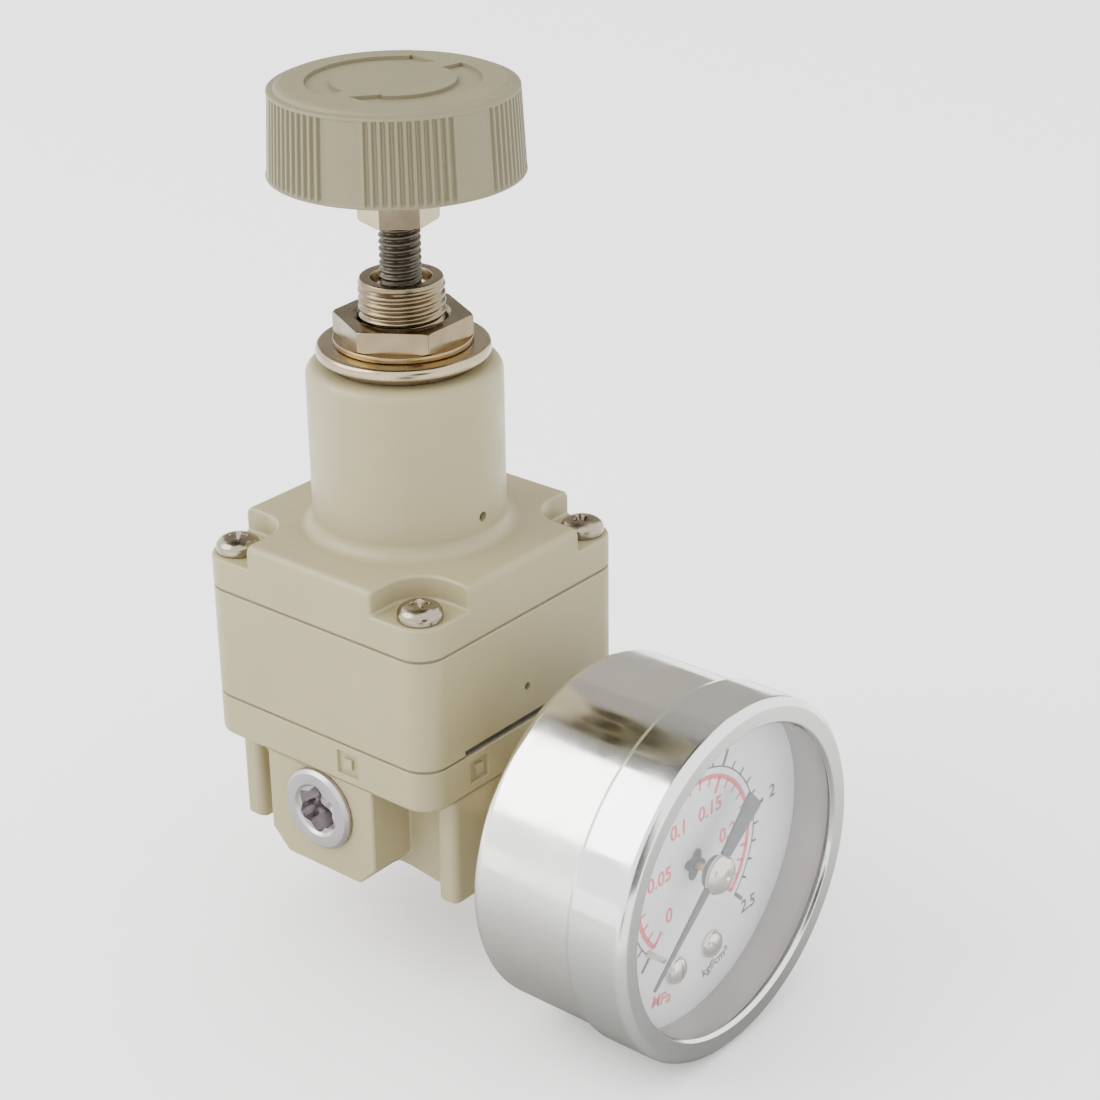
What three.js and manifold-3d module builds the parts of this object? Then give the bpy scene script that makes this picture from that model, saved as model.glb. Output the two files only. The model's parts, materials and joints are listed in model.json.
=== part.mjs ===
// Precision air pressure regulator with a dial gauge.
//
// Millimetres, +Z up along the adjusting screw. The origin is the middle of the bottom face of the
// valve guide, which closes the lower body from below. The gauge faces -Y, the plugged spare port
// faces -X, the supply port faces +X and the outlet port faces +Y.
//
// A setting spring pushes the control diaphragm and its flapper towards a nozzle. The nozzle
// pressure loads the pilot diaphragm, whose stem opens the supply valve in the lower body.

import * as THREE from "three";
import { mergeVertices } from "three/addons/utils/BufferGeometryUtils.js";
import Module from "manifold-3d";

const wasm = await Module();
wasm.setup();

// ---- driving dimensions ----------------------------------------------------------------------

const BODY = { half: 17.5, corner: 3.5, flangeLow: 13.8, seamLow: 19.0, seamHigh: 33.0, top: 40.05 };
const SHEET = 0.3;                       // thickness of the diaphragm sheets clamped in both seams
const SHEET_INSET = 0.25;                // how far a sheet stays inside the body's outline
const NECK = { radius: 11.3, top: 59.9, rounding: 1.4, fillet: 1.7, chamber: 8.3, ceiling: 57.4 };
const POCKET = { at: 14.25, radius: 4.6, floor: 37.05 };
const SCREW = { shank: 1.5, hole: 1.75, head: 2.6, headHeight: 1.95, tip: 15.2 };
const CROSS_SLOT = { half: 1.5, halfWidth: 0.3, depth: 1.05 };
const PORT = { height: 8.85, bore: 4.3, depth: 8.0, rim: 4.9, rimDepth: 0.6, pilot: 3.0 };
const PASSAGE = { inner: 7.2, supply: 2.0, supplyInner: 4.0, rise: 1.1, riseAt: 8.1 };
const PLUG = { head: 5.1, standOut: 0.9, chamfer: 0.4, thread: 4.2, gap: 1.4 };
const PLUG_SOCKET = { flats: 5.3, depth: 3.6 };
const CROSS = { barHalf: 8.4, barLow: 0.6, chamfer: 2.6, webHalf: 11.0, webLow: 0.8, high: 15.0 };
const PAD = { half: 13.2, inner: 14.3, outer: 17.3, rounding: 1.0 };
const MARK = { low: 15.1, high: 18.0, depth: 0.25, left: [-6.6, -3.4], front: [-10.2, -7.1] };
const VENT = { half: 11.0, floor: 16.6, height: 0.7 };
const BLEED = { radius: 0.5, level: 23.5 };
const NECK_HOLE = { radius: 0.6, level: 43.35 };
const CHAMBER = { outlet: 10.0, outletFloor: 13.6, valve: 5.2, web: 11.2, seat: 3.15 };
const GUIDE_BORE = { radius: 6.1, top: 3.3 };
const DIAPHRAGM = { chamber: 11.4, plate: 9.5, pocket: 12.0, pilot: 8.0 };
const SLEEVE = { radius: 4.95, bore: 2.6, mouth: 3.4, mouthDepth: 1.6, top: 69.85 };
const WASHER = { radius: 10.0, low: 60.7, high: 62.2 };
const PANEL_NUT = { flats: 14.0, collar: 8.0, collarTop: 62.95, top: 65.5, angle: 3.3 };
const NUT_CHAMFER = 0.35;                // how far the turned corners of a nut reach in at its faces
const STEM = { radius: 2.4, tip: 57.25, top: 87.6 };
const LOCK_NUT = { flats: 8.0, low: 76.4, high: 80.8, angle: 14 };
const KNOB = { low: 81.95, grip: 82.15, gripTop: 91.5, top: 92.2, radius: 14.35, topRadius: 13.85 };
const KNOB_RIM = { foot: 0.06, lip: 0.25, disc: 12.7 };
const KNOB_ARROW = { inner: 6.9, outer: 9.7, depth: 0.4, starts: [172, -8], sweep: 140 };
const KNOB_HOLLOW = { boss: 5.2, cavity: 12.4, ceiling: 88.4 };
const GROOVES = { groups: 6, perGroup: 11, step: 3.78, firstCentre: -131, depth: 0.4, width: 0.75 };
const SPRING = { mean: 6.2, wire: 0.9, turns: 6.5, low: 36.5, high: 55.8 };
const GAUGE = { rear: 26.3, caseRadius: 21.0, wall: 0.5, caseFront: 43.4, front: 48.1 };
const BEZEL = { radius: 21.6, rear: 40.4, opening: 18.5, lip: 0.65, skirt: 0.4 };
const DIAL = { radius: 20.2, face: 41.6, thickness: 0.5, screwX: 3.4, screwY: -12.5 };
const PANE = { radius: 20.2, low: 46.6, high: 47.4 };
const DIAL_PIN = [-8.4, -7.6];
const NEEDLE = { level: 44.5, thickness: 0.35, tip: 15.0, tail: 9.8, restAngle: 221, eye: 2.0 };
const HUB = { radius: 2.4, height: 1.5 };
const SECTOR = { pivotX: -7.2, pivotY: -3.2, pinion: 1.4, low: 36.6, high: 37.6, restLead: 29.3 };

const SEGMENTS = { fine: 40, medium: 24, small: 16, tiny: 8 };
const FIT = 0.05;                        // running clearance between a moving piece and its guide
const SEAT = 0.02;                       // gap between faces that rest on each other

// ---- materials -------------------------------------------------------------------------------

function finish(color, roughness, metalness) {
  return new THREE.MeshStandardMaterial({ color, roughness, metalness });
}
const paintedAlloy = finish(0xc6bfa9, 0.45, 0.0);
const knobPlastic = finish(0xbdb6a0, 0.55, 0.0);
const nickel = finish(0xc9c3b6, 0.25, 1.0);
const zincSteel = finish(0xd6d3cc, 0.3, 1.0);
const brass = finish(0xb99a5b, 0.3, 1.0);
const chrome = finish(0xdcdcdc, 0.08, 1.0);
const springSteel = finish(0x9a9a98, 0.35, 1.0);
const rubber = finish(0x1d1d1d, 0.8, 0.0);
const dialWhite = finish(0xf0f1f4, 0.5, 0.0);
const needleBlack = finish(0x2c2f33, 0.5, 0.0);
const clearPane = finish(0xe9eef0, 0.05, 0.0);
const bronze = finish(0xa8743e, 0.35, 1.0);

// ---- solids ----------------------------------------------------------------------------------

// Merges shared corners, drops triangles of no area and turns the faces outward.
function solid(geometry) {
  const bare = new THREE.BufferGeometry();
  bare.setAttribute("position", geometry.getAttribute("position"));
  bare.setIndex(geometry.index);
  const merged = mergeVertices(bare, 1e-5);
  const spots = merged.getAttribute("position").array;
  const corners = merged.index.array;
  const kept = [];
  let volume = 0;
  const [a, b, c] = [new THREE.Vector3(), new THREE.Vector3(), new THREE.Vector3()];
  for (let i = 0; i < corners.length; i += 3) {
    const [p, q, r] = [corners[i], corners[i + 1], corners[i + 2]];
    if (p === q || q === r || r === p) continue;
    kept.push(p, q, r);
    a.fromArray(spots, 3 * p);
    b.fromArray(spots, 3 * q);
    c.fromArray(spots, 3 * r);
    volume += a.dot(b.cross(c));
  }
  if (volume < 0) kept.reverse();
  return new wasm.Manifold(
    new wasm.Mesh({
      numProp: 3,
      vertProperties: new Float32Array(spots),
      triVerts: new Uint32Array(kept),
    }),
  );
}

function geometryOf(body) {
  const mesh = body.getMesh();
  const geometry = new THREE.BufferGeometry();
  geometry.setAttribute("position", new THREE.BufferAttribute(mesh.vertProperties, 3));
  geometry.setIndex(new THREE.BufferAttribute(mesh.triVerts, 1));
  geometry.computeVertexNormals();
  return geometry;
}

const join = (first, ...others) => others.reduce((whole, piece) => whole.add(piece), first);
const cut = (first, ...others) => others.reduce((whole, piece) => whole.subtract(piece), first);
const radians = (degrees) => THREE.MathUtils.degToRad(degrees);

// A turned piece about Z. Points are [radius, height].
function turned(points, segments = SEGMENTS.medium) {
  const profile = points.map(([radius, height]) => new THREE.Vector2(radius, height));
  const onAxis = points[0][0] === 0 && points.at(-1)[0] === 0;
  if (!onAxis) profile.push(profile[0].clone());
  return solid(new THREE.LatheGeometry(profile, segments).rotateX(Math.PI / 2));
}

function disc(radius, low, high, segments = SEGMENTS.medium, x = 0, y = 0) {
  const geometry = new THREE.CylinderGeometry(radius, radius, high - low, segments);
  return solid(geometry.rotateX(Math.PI / 2).translate(x, y, (low + high) / 2));
}

function ring(inner, outer, low, high, segments = SEGMENTS.medium) {
  return turned([[inner, low], [outer, low], [outer, high], [inner, high]], segments);
}

// A round bar from the axis of Z outward along one of the four sides, at a height.
function sideBar(side, radius, from, to, height, segments = SEGMENTS.small) {
  const geometry = new THREE.CylinderGeometry(radius, radius, to - from, segments);
  geometry.rotateZ(-Math.PI / 2).translate((from + to) / 2, 0, height);
  return solid(geometry.rotateZ(side * (Math.PI / 2)));
}

function block(x0, x1, y0, y1, z0, z1) {
  const geometry = new THREE.BoxGeometry(x1 - x0, y1 - y0, z1 - z0);
  return solid(geometry.translate((x0 + x1) / 2, (y0 + y1) / 2, (z0 + z1) / 2));
}

function prism(shape, low, high, curveSegments = 5) {
  const options = { depth: high - low, bevelEnabled: false, curveSegments };
  return solid(new THREE.ExtrudeGeometry(shape, options).translate(0, 0, low));
}

// A prism that narrows evenly towards its top.
function taperedPrism(shape, low, high, topScale) {
  const geometry = new THREE.ExtrudeGeometry(shape, { depth: high - low, bevelEnabled: false });
  const spots = geometry.getAttribute("position");
  for (let k = 0; k < spots.count; k += 1) {
    const scale = spots.getZ(k) > 0 ? topScale : 1;
    spots.setXYZ(k, spots.getX(k) * scale, spots.getY(k) * scale, spots.getZ(k) + low);
  }
  return solid(geometry);
}

function polygon(points) {
  return new THREE.Shape(points.map(([x, y]) => new THREE.Vector2(x, y)));
}

function roundedRectangle(x0, x1, y0, y1, radius) {
  const shape = new THREE.Shape();
  shape.moveTo(x0 + radius, y0);
  shape.absarc(x1 - radius, y0 + radius, radius, radians(-90), 0);
  shape.absarc(x1 - radius, y1 - radius, radius, 0, radians(90));
  shape.absarc(x0 + radius, y1 - radius, radius, radians(90), radians(180));
  shape.absarc(x0 + radius, y0 + radius, radius, radians(180), radians(270));
  return shape;
}

// A square body slice whose top or bottom outer edge is rounded.
function bodySlice(low, high, rounding, roundedTop) {
  const half = BODY.half - rounding;
  const shape = roundedRectangle(-half, half, -half, half, BODY.corner - rounding);
  const bevel = { bevelThickness: rounding, bevelSize: rounding, bevelSegments: 2 };
  const depth = high - low;
  const options = { depth, bevelEnabled: true, curveSegments: 5, ...bevel };
  const start = roundedTop ? low - rounding : low + rounding;
  const slice = solid(new THREE.ExtrudeGeometry(shape, options).translate(0, 0, start));
  const reach = BODY.half + 1;
  return roundedTop
    ? slice.subtract(block(-reach, reach, -reach, reach, low - 3 * rounding, low))
    : slice.subtract(block(-reach, reach, -reach, reach, high, high + 3 * rounding));
}

function hexagon(flats, low, high, angle = 0) {
  const radius = flats / 2 / Math.cos(radians(30));
  const points = [0, 1, 2, 3, 4, 5].map((side) => {
    const turn = radians(angle + 60 * side);
    return [radius * Math.cos(turn), radius * Math.sin(turn)];
  });
  return prism(polygon(points), low, high);
}

// A hexagon nut blank whose corners are turned back at 30 degrees at the top, and below if asked.
function nutBlank(flats, low, high, angle, chamferLow) {
  const corner = flats / 2 / Math.cos(radians(30));
  const inner = corner - NUT_CHAMFER;
  const drop = (corner - inner) * Math.tan(radians(30));
  const lowest = chamferLow ? [[0, low], [inner, low], [corner, low + drop]] : [[0, low], [corner, low]];
  const envelope = turned([...lowest, [corner, high - drop], [inner, high], [0, high]]);
  return hexagon(flats, low, high, angle).intersect(envelope);
}

// A round wire wound about Z.
function coil(mean, wire, low, high, turns, steps, sides) {
  class Helix extends THREE.Curve {
    getPoint(t, target = new THREE.Vector3()) {
      const turn = t * turns * 2 * Math.PI;
      const height = low + wire + t * (high - low - 2 * wire);
      return target.set(mean * Math.cos(turn), mean * Math.sin(turn), height);
    }
  }
  const section = new THREE.Shape();
  section.absarc(0, 0, wire, 0, 2 * Math.PI);
  const options = { steps: Math.round(turns * steps), extrudePath: new Helix(), curveSegments: sides };
  return solid(new THREE.ExtrudeGeometry(section, options));
}

const regulator = new THREE.Group();

function place(name, body, material, parent = regulator) {
  const mesh = new THREE.Mesh(geometryOf(body), material);
  mesh.name = name;
  parent.add(mesh);
  return mesh;
}

const screwSpots = [[-1, -1], [1, -1], [1, 1], [-1, 1]].map(([x, y]) => [x * POCKET.at, y * POCKET.at]);
const screwHoles = (low, high) => screwSpots.map(([x, y]) =>
  disc(SCREW.hole, low, high, SEGMENTS.tiny, x, y));

// ---- lower body: ports, supply valve chamber, four-way cross under a square flange -------------

// A prism along X from a section of [y, z] points.
function sectionAlongX(points, half) {
  const options = { depth: 2 * half, bevelEnabled: false };
  const geometry = new THREE.ExtrudeGeometry(polygon(points), options).translate(0, 0, -half);
  return solid(geometry.rotateX(Math.PI / 2).rotateZ(Math.PI / 2));
}

function lowerBody() {
  const { barHalf, barLow, chamfer, webHalf, webLow, high } = CROSS;
  const flange = bodySlice(BODY.flangeLow, BODY.seamLow - SHEET / 2, 0.5, false);
  const bar = sectionAlongX([
    [-barHalf, high], [-barHalf, barLow + chamfer], [-barHalf + chamfer, barLow],
    [barHalf - chamfer, barLow], [barHalf, barLow + chamfer], [barHalf, high],
  ], PAD.outer);
  const web = sectionAlongX([
    [-high, high], [-high, 0.1], [-8, webLow], [8, webLow], [high, 0.1], [high, high],
  ], webHalf);
  const pads = [[-PAD.outer, -PAD.inner], [PAD.inner, PAD.outer]].map(([near, far]) =>
    prism(roundedRectangle(-PAD.half, PAD.half, near, far, PAD.rounding), 0, high, 3));
  const bottom = BODY.half - PORT.depth;
  const past = BODY.half + 1;
  const ports = [0, 1, 2, 3].flatMap((side) => {
    const [inner, radius] = side === 0 ? [PASSAGE.supplyInner, PASSAGE.supply] : [PASSAGE.inner, PORT.pilot];
    return [
      sideBar(side, PORT.bore, bottom, past, PORT.height),
      sideBar(side, PORT.rim, PAD.outer - PORT.rimDepth, past, PORT.height),
      sideBar(side, radius, inner, bottom + 1, PORT.height, SEGMENTS.tiny),
    ];
  });
  const rises = [[0, 1], [-1, 0], [0, -1]].map(([x, y]) =>
    disc(PASSAGE.rise, PORT.height, 14, SEGMENTS.tiny, x * PASSAGE.riseAt, y * PASSAGE.riseAt));
  const face = -PAD.outer + MARK.depth - 0.2;
  return cut(
    join(flange, bar, web, ...pads),
    ...ports,
    ...rises,
    disc(CHAMBER.outlet, CHAMBER.outletFloor, 20),
    disc(CHAMBER.valve, 2, CHAMBER.web, SEGMENTS.small),
    disc(CHAMBER.seat, CHAMBER.web - 1, high, SEGMENTS.small),
    disc(GUIDE_BORE.radius, -1, GUIDE_BORE.top, SEGMENTS.small),
    ...screwHoles(SCREW.tip - 0.4, 20),
    block(-past, face, ...MARK.left, MARK.low, MARK.high),
    block(...MARK.front, -past, face, MARK.low, MARK.high),
  );
}

// ---- middle body: pilot chamber below, feedback chamber and nozzle above ----------------------

const NOZZLE = { web: 26.6, floor: 29.0, hole: 2.05, top: 31.4, gap: 0.25 };
const ORIFICE = { x: 6.4, hole: 1.0, low: 27.0 };

function middleBody() {
  const low = BODY.seamLow + SHEET / 2;
  const high = BODY.seamHigh - SHEET / 2;
  const shape = roundedRectangle(-BODY.half, BODY.half, -BODY.half, BODY.half, BODY.corner);
  return cut(
    prism(shape, low, high),
    disc(DIAPHRAGM.pocket, low - 1, 24.2),
    disc(DIAPHRAGM.pilot, 20, NOZZLE.web, SEGMENTS.small),
    disc(NOZZLE.hole, 25, 30, SEGMENTS.small),
    disc(DIAPHRAGM.chamber, NOZZLE.floor, high + 1),
    disc(ORIFICE.hole, 23, 30, SEGMENTS.tiny, ORIFICE.x, 0),
    block(-VENT.half - 0.1, VENT.half + 0.1, -18, -VENT.floor, low - 1, low + VENT.height),
    block(-3, 3, -17, -11, low - 1, low + VENT.height),
    sideBar(3, BLEED.radius, 11, 18, BLEED.level, SEGMENTS.tiny),
    ...screwHoles(low - 1, high + 1),
  );
}

// ---- bonnet: square flange with four screw pockets, and the spring neck -----------------------

function bonnet() {
  const low = BODY.seamHigh + SHEET / 2;
  const flange = bodySlice(low, BODY.top, 1.0, true);
  const { radius, top, rounding, fillet } = NECK;
  const profile = [[0, 36], [radius + fillet, 36]];
  for (let k = 0; k <= 3; k += 1) {
    const turn = radians(90 * (k / 3));
    const centre = [radius + fillet, BODY.top + fillet - 0.05];
    profile.push([centre[0] - fillet * Math.sin(turn), centre[1] - fillet * Math.cos(turn)]);
  }
  for (let k = 0; k <= 2; k += 1) {
    const turn = radians(90 * (k / 2));
    const centre = [radius - rounding, top - rounding];
    profile.push([centre[0] + rounding * Math.cos(turn), centre[1] + rounding * Math.sin(turn)]);
  }
  profile.push([0, top]);
  const neck = turned(profile, SEGMENTS.fine);
  const pockets = screwSpots.flatMap(([x, y]) => {
    const [sx, sy] = [Math.sign(x), Math.sign(y)];
    const span = (centre, sign) => (sign > 0 ? [centre, 18] : [-18, centre]);
    const wide = (centre, sign) => (sign > 0 ? [centre - POCKET.radius, 18] : [-18, centre + POCKET.radius]);
    return [
      disc(POCKET.radius, POCKET.floor, 42, SEGMENTS.small, x, y),
      block(...wide(x, sx), ...span(y, sy), POCKET.floor, 42),
      block(...span(x, sx), ...wide(y, sy), POCKET.floor, 42),
    ];
  });
  return cut(
    join(flange, neck),
    ...pockets,
    ...screwHoles(low - 1, 42),
    disc(DIAPHRAGM.chamber, low - 1, 36.2),
    disc(NECK.chamber, low - 1, NECK.ceiling),
    disc(SLEEVE.radius + FIT, 56, 61, SEGMENTS.medium),
    sideBar(3, NECK_HOLE.radius, 7, 13, NECK_HOLE.level, SEGMENTS.tiny),
  );
}

// ---- neck stack: threaded sleeve, washer and panel nut ----------------------------------------

function bonnetSleeve() {
  const { radius, bore, mouth, mouthDepth, top } = SLEEVE;
  const profile = [[bore, NECK.ceiling + 0.1], [radius, NECK.ceiling + 0.1], [radius, NECK.top + SEAT]];
  profile.push([8.6, NECK.top + SEAT], [8.6, WASHER.low - SEAT], [radius - 0.1, WASHER.low - SEAT]);
  profile.push([radius - 0.1, top - 0.5], [radius - 0.5, top], [mouth + 0.1, top]);
  profile.push([mouth, top - mouthDepth], [bore, top - mouthDepth - 0.6]);
  return turned(profile, SEGMENTS.medium);
}

function panelNut() {
  const { flats, collar, collarTop, top, angle } = PANEL_NUT;
  const low = WASHER.high + SEAT;
  const body = join(disc(collar, low, collarTop), nutBlank(flats, collarTop - 0.1, top, angle, true));
  return cut(body, disc(SLEEVE.radius + FIT, low - 1, top + 1));
}

// ---- knob, screw and lock nut ------------------------------------------------------------------

function gripOutline() {
  const points = [];
  const { groups, perGroup, step, firstCentre, depth, width } = GROOVES;
  const radius = KNOB.radius;
  const halfWidth = THREE.MathUtils.radToDeg(width / 2 / radius);
  const at = (distance, degrees) => {
    const turn = radians(degrees);
    points.push([distance * Math.cos(turn), distance * Math.sin(turn)]);
  };
  for (let group = 0; group < groups; group += 1) {
    const centre = firstCentre + (360 / groups) * group;
    for (let k = 0; k < perGroup; k += 1) {
      const angle = centre + step * (k - (perGroup - 1) / 2);
      at(radius, angle - halfWidth);
      at(radius - depth, angle);
      at(radius, angle + halfWidth);
    }
    const gap = 360 / groups - step * (perGroup - 1);
    const last = centre + (step * (perGroup - 1)) / 2;
    for (let k = 1; k < 4; k += 1) at(radius, last + (gap * k) / 4);
  }
  return polygon(points);
}

// A curved band about Z, from a start angle clockwise.
function curvedBand(inner, outer, start, sweep) {
  const shape = new THREE.Shape();
  shape.absarc(0, 0, outer, radians(start), radians(start - sweep), true);
  shape.absarc(0, 0, inner, radians(start - sweep), radians(start), false);
  shape.closePath();
  return shape;
}

function knob() {
  const { low, grip, gripTop, top, radius, topRadius } = KNOB;
  const { boss, cavity, ceiling } = KNOB_HOLLOW;
  const bandTop = gripTop - KNOB_RIM.lip;
  const foot = radius + KNOB_RIM.foot;
  const shoulder = topRadius + KNOB_RIM.foot;
  const edge = KNOB_RIM.disc;
  const blank = join(
    turned([[0, low], [foot - 0.1, low], [foot, low + 0.1], [foot, grip + 0.1], [0, grip + 0.1]]),
    taperedPrism(gripOutline(), grip, bandTop, topRadius / radius),
    turned([
      [0, bandTop - 0.1], [shoulder, bandTop - 0.1], [shoulder - 0.05, bandTop + 0.1],
      [shoulder - 0.3, gripTop], [edge + 0.2, gripTop + 0.1], [edge, top - 0.25], [edge - 0.3, top],
      [0, top],
    ], SEGMENTS.fine),
  );
  const { inner, outer, depth, starts, sweep } = KNOB_ARROW;
  const arrows = starts.map((start) =>
    prism(curvedBand(inner, outer, start, sweep), top - depth, top + 1, 12));
  const hollow = ring(boss, cavity, low - 1, ceiling);
  const bossEnd = disc(boss, LOCK_NUT.high + SEAT, low + 2);
  const screwHole = disc(STEM.radius + FIT, low - 2, STEM.top + 0.3, SEGMENTS.small);
  return cut(join(cut(blank, hollow, ...arrows), bossEnd), screwHole);
}

function adjustingScrew() {
  const { radius, tip, top } = STEM;
  return turned([[0, tip], [1.2, tip + 0.5], [radius, tip + 1.7], [radius, top - 0.4],
    [radius - 0.4, top], [0, top]], SEGMENTS.small);
}

function lockNut() {
  const { flats, low, high, angle } = LOCK_NUT;
  const hole = disc(STEM.radius + FIT, low - 1, high + 1, SEGMENTS.small);
  return cut(nutBlank(flats, low, high, angle, true), hole);
}

// ---- pieces on the axis, from the upper spring seat down to the valve guide --------------------

function upperSpringSeat() {
  return turned([[0, 54.2], [4.6, 54.2], [5.1, 54.8], [5.1, SPRING.high + SEAT], [7.6, SPRING.high + SEAT],
    [7.6, 57.0], [2.4, 57.0], [0, 56.4]], SEGMENTS.small);
}

function lowerSpringSeat() {
  const low = BODY.seamHigh + SHEET / 2 + SEAT;
  return turned([[0, low], [DIAPHRAGM.plate, low], [DIAPHRAGM.plate, low + 1.2], [8.0, low + 1.2],
    [8.0, SPRING.low - SEAT], [5.1, SPRING.low - SEAT], [5.1, 38.4], [4.4, 39.0], [0, 39.0]], SEGMENTS.small);
}

// A clamped rubber sheet with the body's outline and a hole for each cover screw.
function sheet(level, centreHole) {
  const edge = BODY.half - SHEET_INSET;
  const shape = roundedRectangle(-edge, edge, -edge, edge, BODY.corner - SHEET_INSET);
  const [low, high] = [level - SHEET / 2 + SEAT, level + SHEET / 2 - SEAT];
  const holes = screwHoles(low - 1, high + 1);
  if (centreHole > 0) holes.push(disc(centreHole, low - 1, high + 1, SEGMENTS.small));
  return cut(prism(shape, low, high, 4), ...holes);
}

// The flapper sits under the control diaphragm, a quarter of a millimetre above the nozzle.
function flapper() {
  const high = BODY.seamHigh - SHEET / 2 - SEAT;
  const face = NOZZLE.top + NOZZLE.gap;
  return turned([[0, face], [2.2, face], [2.2, face + 0.5], [7.5, face + 0.5], [7.5, high],
    [0, high]], SEGMENTS.small);
}

function nozzle() {
  return turned([[0.4, 26.0], [1.9, 26.0], [1.9, NOZZLE.floor + SEAT], [3.2, NOZZLE.floor + SEAT],
    [3.2, 30.0], [1.4, 30.4], [0.9, NOZZLE.top], [0.4, NOZZLE.top]], SEGMENTS.small);
}

function fixedOrifice() {
  return ring(0.25, 0.9, 0, 1.6, SEGMENTS.tiny);
}

function pilotDiaphragm() {
  return ring(2.2, 11.9, 23.8, 24.15);
}

// Holds the pilot diaphragm off the lower one; the four notches let exhaust air out to the vent.
function diaphragmSpacer() {
  const notches = [0, 1, 2, 3].map((side) => sideBar(side, 1.0, 7, 13, 21.0, SEGMENTS.tiny));
  return cut(ring(9.8, 11.9, 19.2, 23.75), ...notches);
}

// The stem joins both diaphragms and rests on the supply valve; the vent drilling is its axis hole.
function exhaustStem() {
  return turned([[0, 11.3], [1.1, 11.3], [1.1, 18.0], [6.5, 18.0], [6.5, 18.8], [2.1, 18.8],
    [2.1, 19.2], [6.5, 19.2], [6.5, 20.0], [2.1, 20.4], [2.1, 22.9], [6.8, 22.9], [6.8, 23.7],
    [2.1, 23.7], [2.1, 24.9], [0, 24.9]], SEGMENTS.small);
}

function pilotPlate() {
  return ring(2.15, 6.8, 24.2, 24.85, SEGMENTS.small);
}

function valveSeat() {
  return turned([[1.9, 10.95], [2.5, 10.95], [3.1, 11.3], [3.1, CHAMBER.outletFloor + SEAT],
    [4.2, CHAMBER.outletFloor + SEAT], [4.2, 14.4], [1.9, 14.4]], SEGMENTS.small);
}

function supplyValve() {
  return turned([[0, 2.8], [1.1, 2.8], [1.1, 9.2], [3.7, 9.2], [3.7, 10.5], [3.1, 10.5],
    [3.1, 9.9], [0, 9.9]], SEGMENTS.small);
}

function valveDisc() {
  return turned([[0, 9.92], [3.05, 9.92], [3.05, 10.9], [0, 10.9]], SEGMENTS.small);
}

function valveGuide() {
  const cap = turned([[0, 0], [5.6, 0], [6.0, 0.4], [6.0, 3.2], [3.4, 3.2], [3.4, 5.2], [1.2, 5.2],
    [1.2, 1.8], [0, 1.8]], SEGMENTS.small);
  const keys = [-1, 1].map((side) => disc(0.7, -1, 1.2, SEGMENTS.tiny, 4.0 * side, 0));
  return cut(cap, ...keys);
}

function guideSeal() {
  return solid(new THREE.TorusGeometry(4.55, 0.5, 8, SEGMENTS.small).translate(0, 0, 3.8));
}

function coverScrew() {
  const { shank, head, headHeight, tip } = SCREW;
  const under = POCKET.floor + SEAT;
  const body = turned([[0, tip], [shank - 0.4, tip], [shank, tip + 0.4], [shank, under], [head, under],
    [head, under + 0.7], [head * 0.84, under + 1.35], [head * 0.5, under + 1.8],
    [0, under + headHeight]], SEGMENTS.small);
  const { half, halfWidth, depth } = CROSS_SLOT;
  const floor = under + headHeight - depth;
  const above = under + headHeight + 1;
  return cut(
    body,
    block(-half, half, -halfWidth, halfWidth, floor, above),
    block(-halfWidth, halfWidth, -half, half, floor, above),
  );
}

// ---- plug in the spare port, drawn about Z and turned to its side -----------------------------

function portPlug() {
  const { head, standOut, chamfer, thread, gap } = PLUG;
  const inner = BODY.half - PORT.depth + gap;
  const seat = PAD.outer + SEAT;
  const outer = PAD.outer + standOut;
  const body = turned([[0, inner], [thread - 0.2, inner], [thread, inner + 0.3], [thread, seat],
    [head, seat], [head, outer - chamfer], [head - chamfer, outer], [0, outer]]);
  return cut(body, hexagon(PLUG_SOCKET.flats, outer - PLUG_SOCKET.depth, outer + 1));
}

// ---- gauge, drawn about Z with its face up ----------------------------------------------------

function gaugeConnector() {
  return cut(
    join(
      turned([[0, 10.6], [4.2, 10.6], [4.2, BODY.half + 0.7], [0, BODY.half + 0.7]], SEGMENTS.small),
      hexagon(12, BODY.half + 0.7, GAUGE.rear - 0.3, 0),
      disc(4.0, GAUGE.rear - 0.3, 30.5, SEGMENTS.small),
    ),
    disc(1.2, 9, 29.5, SEGMENTS.tiny),
    sideBar(3, 0.9, 0, 5, 28.9, SEGMENTS.tiny),
  );
}

function gaugeCase() {
  const { rear, caseRadius, wall, caseFront } = GAUGE;
  const inner = caseRadius - wall;
  return turned([
    [4.15, rear], [caseRadius - 1.4, rear], [caseRadius - 0.4, rear + 0.4], [caseRadius, rear + 1.4],
    [caseRadius, caseFront], [inner, caseFront], [inner, rear + wall], [4.15, rear + wall],
  ], SEGMENTS.fine);
}

function gaugeBezel() {
  const { radius, rear, opening, lip, skirt } = BEZEL;
  const { front } = GAUGE;
  return turned([
    [radius - skirt - 0.1, rear], [radius, rear], [radius, front - 1.0],
    [radius - 0.3, front - 0.3], [radius - 1.0, front], [opening + 0.4, front], [opening, front - 0.2],
    [opening, front - lip], [radius - skirt - 0.1, front - lip],
  ], SEGMENTS.fine);
}

function dialRing() {
  return ring(19.85, 20.35, DIAL.face + 0.05, PANE.low - 0.05, SEGMENTS.fine);
}

function gaugeDial() {
  const { radius, face, thickness, screwX, screwY } = DIAL;
  const holes = [-1, 1].map((side) => disc(0.8, face - 1, face + 1, SEGMENTS.tiny, side * screwX, screwY));
  const pinHole = disc(0.45, face - 1, face + 1, SEGMENTS.tiny, ...DIAL_PIN);
  const centre = disc(1.0, face - 1, face + 1, SEGMENTS.tiny);
  return cut(disc(radius, face - thickness, face, SEGMENTS.fine), ...holes, pinHole, centre);
}

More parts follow.
